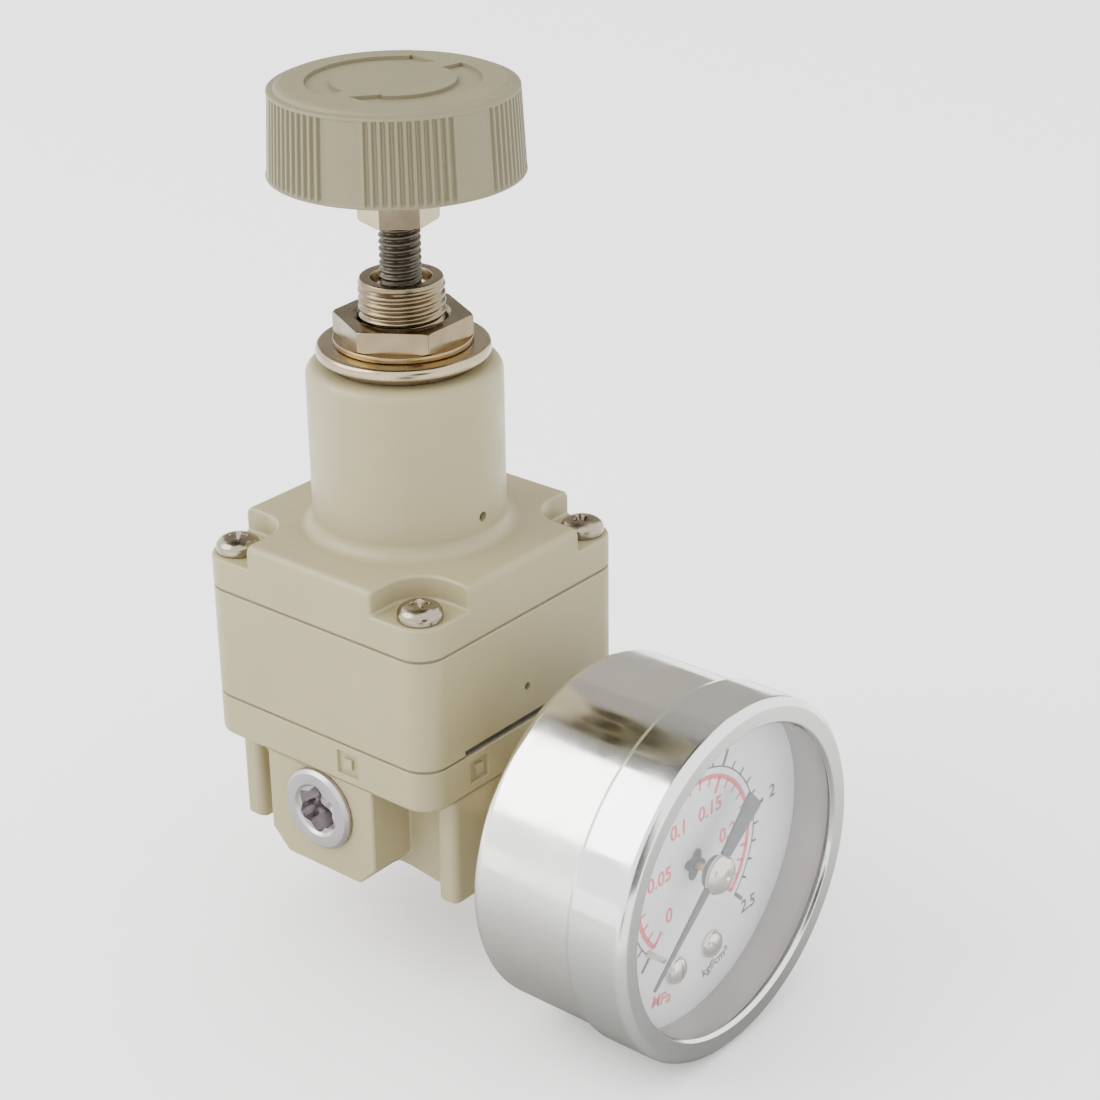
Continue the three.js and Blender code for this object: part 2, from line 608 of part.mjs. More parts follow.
function dialScrew() {
  const low = DIAL.face + SEAT;
  return turned([[0, 39.4], [0.7, 39.4], [0.7, low], [1.7, low], [1.6, low + 0.5], [1.0, low + 1.0],
    [0, low + 1.2]], SEGMENTS.tiny);
}

function dialPin() {
  return turned([[0, 39.6], [0.38, 39.6], [0.38, 43.8], [0.2, 44.0], [0, 44.0]], SEGMENTS.tiny);
}

// The pointer lies along +X here; its group turns it to the rest angle.
function needle() {
  const { level, thickness, tip, tail, eye } = NEEDLE;
  const half = [[tip, 0], [tip - 0.5, 0.16], [0, 0.7], [-4.2, 1.0], [-tail, 1.6]];
  const mirrored = half.slice(1).reverse().map(([x, y]) => [x, -y]);
  const body = join(
    prism(polygon([...half, ...mirrored]), level, level + thickness),
    disc(eye, level - 0.4, level + thickness, SEGMENTS.small),
  );
  return cut(body, disc(0.55, level - 1, level + 1, SEGMENTS.tiny));
}

function needleHub() {
  const { radius, height } = HUB;
  const low = NEEDLE.level + NEEDLE.thickness + SEAT;
  return cut(
    turned([[0, low], [radius, low], [radius, low + 0.3 * height], [0.84 * radius, low + 0.7 * height],
      [0.5 * radius, low + 0.95 * height], [0, low + height]], SEGMENTS.small),
    disc(0.5, low - 1, low + 0.5, SEGMENTS.tiny),
  );
}

function needleArbor() {
  const { pinion, low, high } = SECTOR;
  return turned([[0, 35.0], [0.45, 35.0], [0.45, low - 0.2], [pinion, low - 0.2], [pinion, high + 0.2],
    [0.45, high + 0.2], [0.45, NEEDLE.level + 0.6], [0, NEEDLE.level + 0.6]], SEGMENTS.tiny);
}

const SECTOR_REACH = Math.hypot(SECTOR.pivotX, SECTOR.pivotY) - SECTOR.pinion - 0.12;

// A toothed quadrant on its own spindle, drawn about its pivot with the quadrant along +X.
function sectorGear() {
  const { low, high } = SECTOR;
  const quadrant = new THREE.Shape();
  quadrant.moveTo(0.8, -0.6);
  quadrant.absarc(0, 0, SECTOR_REACH, radians(-32), radians(32));
  quadrant.lineTo(0.8, 0.6);
  quadrant.closePath();
  const spindle = disc(0.45, 35.0, 39.2, SEGMENTS.tiny);
  return join(prism(quadrant, low, high, 10), disc(1.3, low, high, SEGMENTS.tiny), spindle,
    block(-3.2, 0, -0.6, 0.6, low, high));
}

// Two plates on four pillars carry the arbor and the sector spindle, and the dial screws to them.
function movementFrame() {
  const plate = (low, high) => join(
    block(-10.2, 5.2, -6.2, 4.6, low, high),
    block(-5, 5, -13.9, -5, low, high),
  );
  const { screwX, screwY, face, thickness } = DIAL;
  const pillars = [[-9, 3.4], [4, 3.4], [-screwX, screwY], [screwX, screwY]].map(([x, y]) =>
    disc(1.1, 34.0, face - thickness - 0.1, SEGMENTS.tiny, x, y));
  const { pivotX, pivotY } = SECTOR;
  return cut(
    join(plate(34.2, 35.0), plate(38.4, 39.2), ...pillars, disc(3.2, 30.6, 34.2, SEGMENTS.small)),
    disc(0.5, 34.6, 43, SEGMENTS.tiny),
    disc(0.5, 34.6, 43, SEGMENTS.tiny, pivotX, pivotY),
    ...[-1, 1].map((side) => disc(0.8, 39.3, 43, SEGMENTS.tiny, side * screwX, screwY)),
  );
}

// A flattened tube bent to a C, closed at its tip and open at its root.
function bourdonTube() {
  const arc = new THREE.CatmullRomCurve3(
    Array.from({ length: 13 }, (_, k) => {
      const turn = radians(-75 + 20 * k);
      return new THREE.Vector3(15.2 * Math.cos(turn), 15.2 * Math.sin(turn), 32.2);
    }),
  );
  const section = roundedRectangle(-1.4, 1.4, -0.55, 0.55, 0.5);
  return solid(new THREE.ExtrudeGeometry(section, { steps: 18, extrudePath: arc, curveSegments: 1 }));
}

// The block that feeds the tube's root from the connector.
function tubeRoot() {
  return cut(block(2.9, 6.9, -16.6, -13.4, 30.2, 34.0), block(3.2, 8, -15.8, -13.2, 30.7, 33.8));
}

// ---- assembly --------------------------------------------------------------------------------

place("lower_body", lowerBody(), paintedAlloy);
place("middle_body", middleBody(), paintedAlloy);
place("bonnet", bonnet(), paintedAlloy);
place("bonnet_sleeve", bonnetSleeve(), nickel);
place("panel_washer", turned([
  [5.15, WASHER.low], [WASHER.radius - 0.5, WASHER.low], [WASHER.radius, WASHER.low + 0.5],
  [WASHER.radius, WASHER.high - 0.5], [WASHER.radius - 0.5, WASHER.high], [5.15, WASHER.high],
]), nickel);
place("panel_nut", panelNut(), nickel);
place("knob", knob(), knobPlastic);
place("adjusting_screw", adjustingScrew(), zincSteel);
place("lock_nut", lockNut(), nickel);
place("upper_spring_seat", upperSpringSeat(), brass);
const { mean, wire, turns } = SPRING;
place("setting_spring", coil(mean, wire, SPRING.low, SPRING.high, turns, 12, 2), springSteel);
place("lower_spring_seat", lowerSpringSeat(), zincSteel);
place("control_diaphragm", sheet(BODY.seamHigh, 0), rubber);
place("flapper", flapper(), zincSteel);
place("nozzle", nozzle(), brass);
place("fixed_orifice", fixedOrifice(), brass).position.set(ORIFICE.x, 0, ORIFICE.low);
place("pilot_diaphragm", pilotDiaphragm(), rubber);
place("diaphragm_spacer", diaphragmSpacer(), zincSteel);
place("exhaust_stem", exhaustStem(), brass);
place("pilot_plate", pilotPlate(), zincSteel);
place("lower_diaphragm", sheet(BODY.seamLow, 2.2), rubber);
place("vent_strip", block(-VENT.half, VENT.half, -17.35, -VENT.floor - 0.05, 19.2, 19.8), rubber);
place("valve_seat", valveSeat(), brass);
place("supply_valve", supplyValve(), brass);
place("valve_disc", valveDisc(), rubber);
place("valve_spring", coil(2.3, 0.25, 5.25, 9.15, 4, 12, 2), springSteel);
place("valve_guide", valveGuide(), brass);
place("guide_o_ring", guideSeal(), rubber);

const screwBody = coverScrew();
screwSpots.forEach(([x, y], index) => {
  place(`cover_screw_${index + 1}`, screwBody, zincSteel).position.set(x, y, 0);
});

const spareSide = new THREE.Group();
spareSide.position.set(0, 0, PORT.height);
spareSide.rotation.y = -Math.PI / 2;
regulator.add(spareSide);
place("port_plug", portPlug(), zincSteel, spareSide);

const gauge = new THREE.Group();
gauge.position.set(0, 0, PORT.height);
gauge.rotation.x = Math.PI / 2;
regulator.add(gauge);
place("gauge_connector", gaugeConnector(), brass, gauge);
place("gauge_case", gaugeCase(), chrome, gauge);
place("gauge_bezel", gaugeBezel(), chrome, gauge);
place("dial_ring", dialRing(), dialWhite, gauge);
place("gauge_window", disc(PANE.radius, PANE.low, PANE.high, SEGMENTS.fine), clearPane, gauge);
place("gauge_dial", gaugeDial(), dialWhite, gauge);
[-1, 1].forEach((side, index) => {
  const screw = place(`dial_screw_${index + 1}`, dialScrew(), brass, gauge);
  screw.position.set(side * DIAL.screwX, DIAL.screwY, 0);
});
place("dial_pin", dialPin(), brass, gauge).position.set(...DIAL_PIN, 0);
place("movement_frame", movementFrame(), brass, gauge);
place("bourdon_tube", bourdonTube(), bronze, gauge);
place("tube_root", tubeRoot(), brass, gauge);

const pointer = new THREE.Group();
pointer.rotation.z = radians(NEEDLE.restAngle);
gauge.add(pointer);
place("gauge_needle", needle(), needleBlack, pointer);
place("needle_hub", needleHub(), nickel, pointer);
place("needle_arbor", needleArbor(), brass, pointer);

const quadrant = new THREE.Group();
const { pivotX, pivotY } = SECTOR;
quadrant.position.set(pivotX, pivotY, 0);
quadrant.rotation.z = Math.atan2(-pivotY, -pivotX) - radians(SECTOR.restLead);
gauge.add(quadrant);
place("sector_gear", sectorGear(), brass, quadrant);

export default regulator;
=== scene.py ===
"""Looks of a compact air pressure regulator with a dial gauge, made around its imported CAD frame.

Shapes are drawn in millimetres and scaled to metres as each piece is finished. Turned pieces are drawn
about Z. The gauge's pieces are then tipped to face -Y, and the plug's to face -X.
"""

import json
from contextlib import contextmanager
from math import copysign, cos, pi, radians, sin, tan

import bmesh
import bpy
from mathutils import Matrix, Vector

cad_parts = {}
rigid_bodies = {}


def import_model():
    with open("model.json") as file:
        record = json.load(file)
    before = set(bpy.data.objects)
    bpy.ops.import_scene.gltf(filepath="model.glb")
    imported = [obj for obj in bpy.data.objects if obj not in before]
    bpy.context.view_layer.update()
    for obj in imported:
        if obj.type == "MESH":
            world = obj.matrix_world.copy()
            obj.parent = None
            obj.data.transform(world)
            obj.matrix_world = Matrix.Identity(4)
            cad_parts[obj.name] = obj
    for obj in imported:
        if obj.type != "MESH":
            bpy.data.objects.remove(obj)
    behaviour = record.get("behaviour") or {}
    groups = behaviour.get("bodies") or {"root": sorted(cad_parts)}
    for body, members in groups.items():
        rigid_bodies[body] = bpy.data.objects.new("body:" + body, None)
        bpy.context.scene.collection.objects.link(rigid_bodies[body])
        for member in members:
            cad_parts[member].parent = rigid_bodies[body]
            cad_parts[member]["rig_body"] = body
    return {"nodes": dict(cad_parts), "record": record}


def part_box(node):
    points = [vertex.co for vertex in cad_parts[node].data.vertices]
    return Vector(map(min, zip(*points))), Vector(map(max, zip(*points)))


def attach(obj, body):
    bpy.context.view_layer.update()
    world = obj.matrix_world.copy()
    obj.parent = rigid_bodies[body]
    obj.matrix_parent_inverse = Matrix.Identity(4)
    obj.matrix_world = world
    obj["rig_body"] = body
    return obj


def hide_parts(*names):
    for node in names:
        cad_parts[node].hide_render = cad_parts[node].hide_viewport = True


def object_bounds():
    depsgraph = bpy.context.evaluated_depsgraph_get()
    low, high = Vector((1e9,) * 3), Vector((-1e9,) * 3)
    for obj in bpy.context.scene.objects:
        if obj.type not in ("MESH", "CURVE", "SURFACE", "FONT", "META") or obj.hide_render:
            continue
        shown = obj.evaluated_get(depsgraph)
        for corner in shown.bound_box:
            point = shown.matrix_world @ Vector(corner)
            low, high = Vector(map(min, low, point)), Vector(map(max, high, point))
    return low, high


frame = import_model()
CAD_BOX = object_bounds()

MM = 0.001
FULL_TURN = 2 * pi
QUARTER = pi / 2
SLOT_OF = {row["node"]: row["material_slot"] for row in frame["record"]["subparts"]}


def extent(node):
    """Lowest and highest corner of a CAD node, in millimetres."""
    low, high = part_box(node)
    return low / MM, high / MM


def heights(node):
    """Lowest and highest level of a CAD node."""
    low, high = extent(node)
    return low.z, high.z


def gauge_span(node):
    """Rear and front of a CAD node along the gauge's axis, which faces -Y."""
    low, high = extent(node)
    return -high.y, -low.y


# ---- driving dimensions, read from the frame where it has them ----

BODY_HALF = extent("middle_body")[1].x
BODY_CORNER = 3.5
FLANGE_LOW = 13.8
LOWER_TOP = heights("lower_body")[1]
MIDDLE_LOW, MIDDLE_HIGH = heights("middle_body")
BONNET_LOW, NECK_TOP = heights("bonnet")
BONNET_TOP = 40.05
NECK_RADIUS = 11.3
PORT_HEIGHT = sum(heights("gauge_case")) / 2
PORT_BORE = 4.3
PORT_RIM = 4.9
PIPE_RADIUS, PIPE_PITCH = 4.2, 0.907   # thread of the plug, the ports and the gauge's connector
PAD_HALF, PAD_INNER, PAD_OUTER = 13.2, 14.3, 17.3
CROSS_TOP = 15.0
SCREW_AT = 14.25
SCREW_HOLE = 1.75
BLEED_HEIGHT, VENT_HEIGHT = 23.5, 43.35
POCKET_RADIUS = 4.6
POCKET_FLOOR = 37.05
SEAM_EDGE = 0.2   # rounding where two castings meet at a seam
CAST_EDGE = 0.32   # rounding of the other cast edges
SEAT = 0.02   # gap between faces that rest on each other


# ---- mesh tools ----

def new_object(name, data):
    """A new object in the scene."""
    made = bpy.data.objects.new(name, data)
    bpy.context.collection.objects.link(made)
    return made


@contextmanager
def editing(mesh):
    """Opens a mesh for work on its faces, and writes it back at the end."""
    work = bmesh.new()
    work.from_mesh(mesh)
    yield work
    work.to_mesh(mesh)
    work.free()


def mesh_object(name, points, faces):
    """A new object from points and faces, with its faces turned outward."""
    mesh = bpy.data.meshes.new(name)
    mesh.from_pydata(points, [], faces)
    made = new_object(name, mesh)
    with editing(mesh) as work:
        bmesh.ops.recalc_face_normals(work, faces=work.faces)
    return made


def turns_about(count, start=0.0):
    """Angles that divide a full turn."""
    return [start + FULL_TURN * k / count for k in range(count)]


def polar(radius, turn):
    return radius * cos(turn), radius * sin(turn)


def along(radius, turns):
    """Points at a radius and the given angles."""
    return [polar(radius, turn) for turn in turns]


def quarter(steps):
    """(sine, cosine) pairs over a quarter turn. The last cosine is exactly 0."""
    turns = [QUARTER * step / steps for step in range(steps + 1)]
    return [(sin(turn), round(cos(turn), 12)) for turn in turns]


def revolve(name, rows, columns=96, angles=None):
    """A solid turned about Z from (radius, height) rows. A radius may be a function of angle and height.

    Rows that start and end on the axis close there, and other rows close on themselves."""
    angles = angles or turns_about(columns)
    points, rings = [], []
    for radius, height in rows:
        if radius == 0:
            rings.append([len(points)])
            points.append((0, 0, height))
            continue
        rings.append(list(range(len(points), len(points) + len(angles))))
        for angle in angles:
            reach = radius(angle, height) if callable(radius) else radius
            points.append((*polar(reach, angle), height))
    pairs = list(zip(rings, rings[1:]))
    if len(rings[0]) > 1:
        pairs.append((rings[-1], rings[0]))
    faces = []
    for lower, upper in pairs:
        for k in range(len(angles)):
            n = (k + 1) % len(angles)
            corners = [ring[i % len(ring)] for ring, i in ((lower, k), (lower, n), (upper, n), (upper, k))]
            faces.append(tuple(dict.fromkeys(corners)))
    return mesh_object(name, points, faces)


def soften(corners, steps=4):
    """Profile points from (radius, height, rounding) corners, with each rounding as an arc."""
    points = []
    for k, (x, y, rounding) in enumerate(corners):
        here = Vector((x, y))
        if rounding == 0:
            points.append((x, y))
            continue
        back = Vector(corners[k - 1][:2]) - here
        ahead = Vector(corners[(k + 1) % len(corners)][:2]) - here
        between = back.angle(ahead)
        reach = rounding / tan(between / 2)
        middle = here + (back.normalized() + ahead.normalized()).normalized() * (
            rounding / sin(between / 2))
        start = (here + back.normalized() * reach - middle).normalized()
        end = (here + ahead.normalized() * reach - middle).normalized()
        for step in range(steps + 1):
            points.append(tuple(middle + start.slerp(end, step / steps) * rounding))
    return points


def rounded_loop(x0, x1, y0, y1, corner, steps=8):
    """Points of a rectangle with rounded corners, anticlockwise."""
    centres = ((x1 - corner, y0 + corner), (x1 - corner, y1 - corner),
               (x0 + corner, y1 - corner), (x0 + corner, y0 + corner))
    loop = []
    for side, (x, y) in enumerate(centres):
        for step in range(steps + 1):
            east, north = polar(corner, QUARTER * (side - 1 + step / steps))
            loop.append((x + east, y + north))
    return loop


def loft(name, loops):
    """A solid through (points, height) loops of the same length, capped at both ends."""
    points, faces = [], []
    count = len(loops[0][0])
    for loop, height in loops:
        points.extend((x, y, height) for x, y in loop)
    for level in range(len(loops) - 1):
        first, second = level * count, (level + 1) * count
        for k in range(count):
            n = (k + 1) % count
            faces.append((first + k, first + n, second + n, second + k))
    faces.append(tuple(reversed(range(count))))
    faces.append(tuple(range(len(points) - count, len(points))))
    return mesh_object(name, points, faces)


def rounding_rows(low, high, bottom, top, steps=5):
    """(inset, height) pairs up a wall whose lower and upper edges are rounded."""
    rows = [(bottom * (1 - sine), low + bottom * (1 - cosine)) for sine, cosine in quarter(steps)]
    return rows + [(top * (1 - cosine), high - top * (1 - sine)) for sine, cosine in quarter(steps)]


def square_bar(name, half, corner, low, high, bottom, top):
    """An upright square bar with rounded corners and rounded end edges."""
    loops = []
    for inset, height in rounding_rows(low, high, bottom, top):
        edge = half - inset
        loops.append((rounded_loop(-edge, edge, -edge, edge, corner - inset), height))
    return loft(name, loops)


def block(x0, x1, y0, y1, z0, z1):
    return loft("block", [(((x0, y0), (x1, y0), (x1, y1), (x0, y1)), z) for z in (z0, z1)])


def moved(obj, x=0.0, y=0.0, z=0.0, turn=0.0):
    """Turns an object's mesh about Z, and then shifts it."""
    obj.data.transform(Matrix.Translation((x, y, z)) @ Matrix.Rotation(turn, 4, "Z"))
    return obj


def rod(radius, low, high, x=0.0, y=0.0, columns=48):
    return moved(revolve("rod", [(0, low), (radius, low), (radius, high), (0, high)], columns), x, y)


def turned_to(obj, side):
    """Turns a piece drawn about Z to face out of one side: 0 is +X, 1 +Y, 2 -X and 3 -Y."""
    spin = Matrix.Rotation(side * QUARTER, 4, "Z") @ Matrix.Rotation(QUARTER, 4, "Y")
    obj.data.transform(Matrix.Translation((0, 0, PORT_HEIGHT)) @ spin)
    return obj


def tipped(obj):
    """Tips a piece of the gauge, drawn face up with its top at +Y, so that it faces -Y."""
    obj.data.transform(Matrix.Translation((0, 0, PORT_HEIGHT)) @ Matrix.Rotation(QUARTER, 4, "X"))
    return obj


def settle(obj):
    """Puts what an object's modifiers make into its mesh."""
    graph = bpy.context.evaluated_depsgraph_get()
    made = bpy.data.meshes.new_from_object(obj.evaluated_get(graph))
    obj.modifiers.clear()
    old, obj.data = obj.data, made
    bpy.data.meshes.remove(old)
    return obj


def combine(body, others, operation):
    """Joins or cuts a body with other solids, which are used up."""
    for other in others:
        change = body.modifiers.new(operation, "BOOLEAN")
        change.operation = operation
        change.solver = "EXACT"
        change.object = other
    settle(body)
    for other in others:
        bpy.data.objects.remove(other)
    return body


def cut(body, *others):
    return combine(body, others, "DIFFERENCE")


def add(body, *others):
    return combine(body, others, "UNION")


def merge(body, *others):
    """Puts other closed solids into the same mesh, as separate shells."""
    with editing(body.data) as work:
        for other in others:
            work.from_mesh(other.data)
            bpy.data.objects.remove(other)
    return body


def round_edges(body, width, least=35.0, steps=3, where=None):
    """Rounds the edges where two faces meet at more than `least` degrees."""
    with editing(body.data) as work:
        bmesh.ops.remove_doubles(work, verts=work.verts, dist=0.002)
        bmesh.ops.dissolve_limit(
            work, angle_limit=radians(0.5), verts=work.verts, edges=work.edges)
        edges = [
            edge for edge in work.edges
            if len(edge.link_faces) == 2 and edge.calc_face_angle() > radians(least)
            and (where is None or where((edge.verts[0].co + edge.verts[1].co) / 2))
        ]
        bmesh.ops.bevel(
            work, geom=edges, offset=width, segments=steps, profile=0.5, affect="EDGES",
            clamp_overlap=False, loop_slide=True)
        bmesh.ops.remove_doubles(work, verts=work.verts, dist=0.001)
        bmesh.ops.recalc_face_normals(work, faces=work.faces)
    return body


def coat(obj, surface):
    """Gives an object one material."""
    obj.data.materials.clear()
    obj.data.materials.append(surface)


def in_metres(obj, name, surface):
    """Names a piece, scales it from millimetres and gives it its material."""
    obj.name = name
    obj.data.transform(Matrix.Scale(MM, 4))
    coat(obj, surface)


def stand_for(obj, node, surface=None, sharp=38.0):
    """Finishes a piece in metres and puts it in the place of a CAD node, with its slot's look or another."""
    in_metres(obj, f"{node}_detail", surface or SURFACES[SLOT_OF[node]])
    obj.data.shade_smooth()
    obj.data.set_sharp_from_angle(angle=radians(sharp))
    weigh = obj.modifiers.new("weigh", "WEIGHTED_NORMAL")
    weigh.keep_sharp = True
    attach(obj, frame["nodes"][node]["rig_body"])
    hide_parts(node)
    return obj


# ---- outlines that turn with angle ----

def thread(radius, depth, pitch, low, high, runout):
    """Radius of a screw thread at an angle and height. It fades to its crest radius at both ends."""
    def reach(angle, height):
        turn = (height / pitch - angle / FULL_TURN) % 1.0
        valley = max(0.0, 1.0 - abs(2 * turn - 1) * 1.25)
        fade = min(1.0, max(0.0, (height - low) / runout), max(0.0, (high - height) / runout))
        return radius - depth * min(valley * 1.15, 1.0) * fade
    return reach


def thread_rows(reach, low, high, pitch, per_pitch=10):
    count = round((high - low) / pitch * per_pitch)
    return [(reach, low + (high - low) * k / count) for k in range(count + 1)]


def hexagon(flats, low, high, degrees=0.0):
    loop = along(flats / 2 / cos(radians(30)), turns_about(6, radians(degrees)))
    return loft("hexagon", [(loop, low), (loop, high)])


def nut_blank(flats, low, high, degrees, bore):
    """A hexagon whose corners are turned back at 30 degrees, with a countersunk hole."""
    corner = flats / 2 / cos(radians(30)) + 0.02
    face = corner - 0.37
    drop = (corner - face) * tan(radians(30))
    envelope = revolve("envelope", [
        (0, low), (face, low), (corner, low + drop), (corner, high - drop), (face, high), (0, high)], 120)
    blank = combine(hexagon(flats, low, high, degrees), [envelope], "INTERSECT")
    sink = 0.55
    hole = revolve("hole", [
        (0, low - 1), (bore + sink, low - 1), (bore + sink, low), (bore, low + sink),
        (bore, high - sink), (bore + sink, high), (bore + sink, high + 1), (0, high + 1)], 64)
    return round_edges(cut(blank, hole), 0.1, least=24, steps=2)


# ---- materials ----

class Surface:
    """A material with one Principled shader, and short ways to feed it with procedural detail."""

    def __init__(self, name, metallic=0.0, **settings):
        self.material = bpy.data.materials.new(name)
        self.material.use_nodes = True
        self.tree = self.material.node_tree
        self.shader = next(n for n in self.tree.nodes if n.type == "BSDF_PRINCIPLED")
        self.shader.inputs["Metallic"].default_value = metallic
        for socket, value in settings.items():
            self.shader.inputs[socket.replace("_", " ")].default_value = value
        self.place = self.tree.nodes.new("ShaderNodeTexCoord").outputs["Object"]

    def node(self, kind, inputs=(), **properties):
        made = self.tree.nodes.new(kind)
        for name, value in properties.items():
            setattr(made, name, value)
        for name, value in dict(inputs).items():
            if isinstance(value, bpy.types.NodeSocket):
                self.tree.links.new(value, made.inputs[name])
            else:
                made.inputs[name].default_value = value
        return made

    def round_about(self, axis, height=0.0):
        """Coordinates (distance from an axis, way along it), so that noise on them makes turning marks."""
        keep = [0.0 if letter == axis else 1.0 for letter in "XYZ"]
        place = self.node("ShaderNodeVectorMath", {0: self.place, 1: (0, 0, -height)}).outputs[0]
        flat = self.node("ShaderNodeVectorMath", {0: place, 1: keep}, operation="MULTIPLY").outputs[0]
        away = self.node("ShaderNodeVectorMath", {0: flat}, operation="LENGTH").outputs["Value"]
        parts = self.node("ShaderNodeSeparateXYZ", {0: place})
        return self.node("ShaderNodeCombineXYZ", {0: away, 1: parts.outputs[axis]}).outputs[0]

    def noise(self, scale, detail=3.0, place=None, roughness=0.55):
        made = self.node("ShaderNodeTexNoise", {
            "Vector": place or self.place, "Scale": scale, "Detail": detail, "Roughness": roughness})
        return made.outputs["Fac"]

    def spread(self, source, low, high, start=0.35, end=0.65):
        """Maps a noise to the range from low to high."""
        made = self.node("ShaderNodeMapRange", {
            "Value": source, "From Min": start, "From Max": end, "To Min": low, "To Max": high})
        return made.outputs["Result"]

    def tint(self, source, low, high, start=0.35, end=0.65):
        """Blends two colours by a noise."""
        ramp = self.node("ShaderNodeValToRGB", {"Fac": source})
        ramp.color_ramp.elements[0].position = start
        ramp.color_ramp.elements[1].position = end
        ramp.color_ramp.elements[0].color = (*low, 1)
        ramp.color_ramp.elements[1].color = (*high, 1)
        return ramp.outputs["Color"]

    def mix(self, factor, first, second):
        colors = [part if isinstance(part, bpy.types.NodeSocket) else (*part, 1) for part in (first, second)]
        made = self.node("ShaderNodeMix", {0: factor, 6: colors[0], 7: colors[1]}, data_type="RGBA")
        return made.outputs[2]

    def bump(self, source, distance, strength=1.0, under=None):
        inputs = {"Height": source, "Distance": distance, "Strength": strength}
        if under:
            inputs["Normal"] = under
        return self.node("ShaderNodeBump", inputs).outputs["Normal"]

    def specks(self, color, speck, scale, detail, most, start, end):
        """Mixes specks of another colour into a colour."""
        return self.mix(self.spread(self.noise(scale, detail), 0.0, most, start, end), color, speck)

    def finish(self, color=None, rough=None, bumps=()):
        """Feeds the shader with a colour and with noises: `rough` gives the roughness as (scale, detail,
        low, high, start, end), and each bump is (scale, detail, distance, strength, place)."""
        normal = None
        for scale, detail, distance, strength, *place in bumps:
            normal = self.bump(self.noise(scale, detail, *place), distance, strength, normal)
        if rough:
            scale, detail, *ends = rough
            rough = self.spread(self.noise(scale, detail), *ends)
        for name, value in (("Base Color", color), ("Roughness", rough), ("Normal", normal)):
            if value is not None:
                self.tree.links.new(value, self.shader.inputs[name])
        return self.material


def darker(color, share):
    return tuple(share * part for part in color)


def enamel(name, light, shade, roughness):
    """Satin paint: soft blotches, orange peel and a fine grain."""
    made = Surface(name, Coat_Weight=0.12, Coat_Roughness=0.25)
    color = made.tint(made.noise(90.0, 4.0), shade, light, 0.3, 0.7)
    color = made.specks(color, darker(shade, 0.72), 2600.0, 2.0, 0.1, 0.62, 0.75)
    return made.finish(color, (260.0, 3.0, roughness - 0.06, roughness + 0.08),
                       [(700.0, 2.0, 3e-5, 0.35), (5200.0, 2.0, 1e-5, 0.3)])


def moulded(name, light, shade, roughness):
    """Matt moulded plastic with a spark-eroded grain and faint flow marks."""
    made = Surface(name, IOR=1.48)
    color = made.tint(made.noise(70.0, 5.0), shade, light, 0.3, 0.7)
    return made.finish(color, (500.0, 3.0, roughness - 0.06, roughness + 0.07),
                       [(3200.0, 3.0, 1.4e-5, 0.5), (400.0, 2.0, 2e-5, 0.15)])


def turned_metal(name, light, shade, roughness, axis="Z", height=0.0, marks=0.5, spots=True):
    """Plated or bare turned metal: fine rings round its axis, with handling smudges over them."""
    made = Surface(name, metallic=1.0)
    rings = made.round_about(axis, height)
    color = made.tint(made.noise(130.0, 5.0), shade, light, 0.35, 0.7)
    if spots:
        color = made.specks(color, darker(shade, 0.45), 1500.0, 3.0, 0.45, 0.64, 0.8)
    return made.finish(color, (230.0, 4.0, roughness * 0.75, roughness * 1.5, 0.3, 0.75),
                       [(9000.0, 2.0, 4e-6, marks, rings), (240.0, 2.0, 2e-5, 0.12)])


def gold_rubbed(name, light, shade, gold, roughness, level, height):
    """Nickel plate that is rubbed through to brass below a level, in patches."""
    made = Surface(name, metallic=1.0)
    up = made.node("ShaderNodeSeparateXYZ", {0: made.place}).outputs["Z"]
    low = made.spread(up, 1.0, 0.0, level * MM, (level + height) * MM)
    patch = made.spread(made.noise(300.0, 3.0), 0.25, 1.0, 0.35, 0.6)
    worn = made.node("ShaderNodeMath", {0: low, 1: patch}, operation="MULTIPLY").outputs[0]
    color = made.mix(worn, made.tint(made.noise(150.0, 4.0), shade, light), gold)
    return made.finish(color, (260.0, 4.0, roughness * 0.7, roughness * 1.5),
                       [(9000.0, 2.0, 4e-6, 0.5, made.round_about("Z"))])


def chrome(name, tone, roughness, wave=0.2):
    """Bright plate on a drawn shell, with faint waves, wiping marks and a few specks."""
    made = Surface(name, metallic=1.0)
    rings = made.round_about(*GAUGE_AXIS)
    color = made.tint(made.noise(60.0, 3.0), darker(tone, 0.93), tone)
    color = made.specks(color, darker(tone, 0.4), 900.0, 2.0, 0.6, 0.78, 0.86)
    return made.finish(color, (150.0, 5.0, roughness * 0.6, roughness * 1.5),
                       [(90.0, 1.0, 8e-5, wave), (6000.0, 2.0, 3e-6, 0.35, rings)])


def rubber(name, light, shade):
    made = Surface(name)
    color = made.tint(made.noise(400.0, 4.0), shade, light)
    return made.finish(color, (900.0, 3.0, 0.6, 0.85), [(2500.0, 3.0, 2e-5, 0.5)])


def print_ink(name, light, shade):
    """Screen-printed ink, a little uneven in tone."""
    made = Surface(name)
    color = made.tint(made.noise(1600.0, 4.0), shade, light, 0.3, 0.7)
    return made.finish(color, (1200.0, 2.0, 0.5, 0.7), [(5000.0, 2.0, 5e-6, 0.4)])


def dial_enamel(name):
    made = Surface(name, Coat_Weight=0.2, Coat_Roughness=0.3)
    color = made.tint(made.noise(120.0, 3.0), (0.63, 0.63, 0.66), (0.70, 0.70, 0.73))
    color = made.specks(color, (0.35, 0.36, 0.38), 2200.0, 1.0, 0.5, 0.76, 0.82)
    return made.finish(color, (700.0, 3.0, 0.38, 0.52), [(2600.0, 2.0, 6e-6, 0.4)])


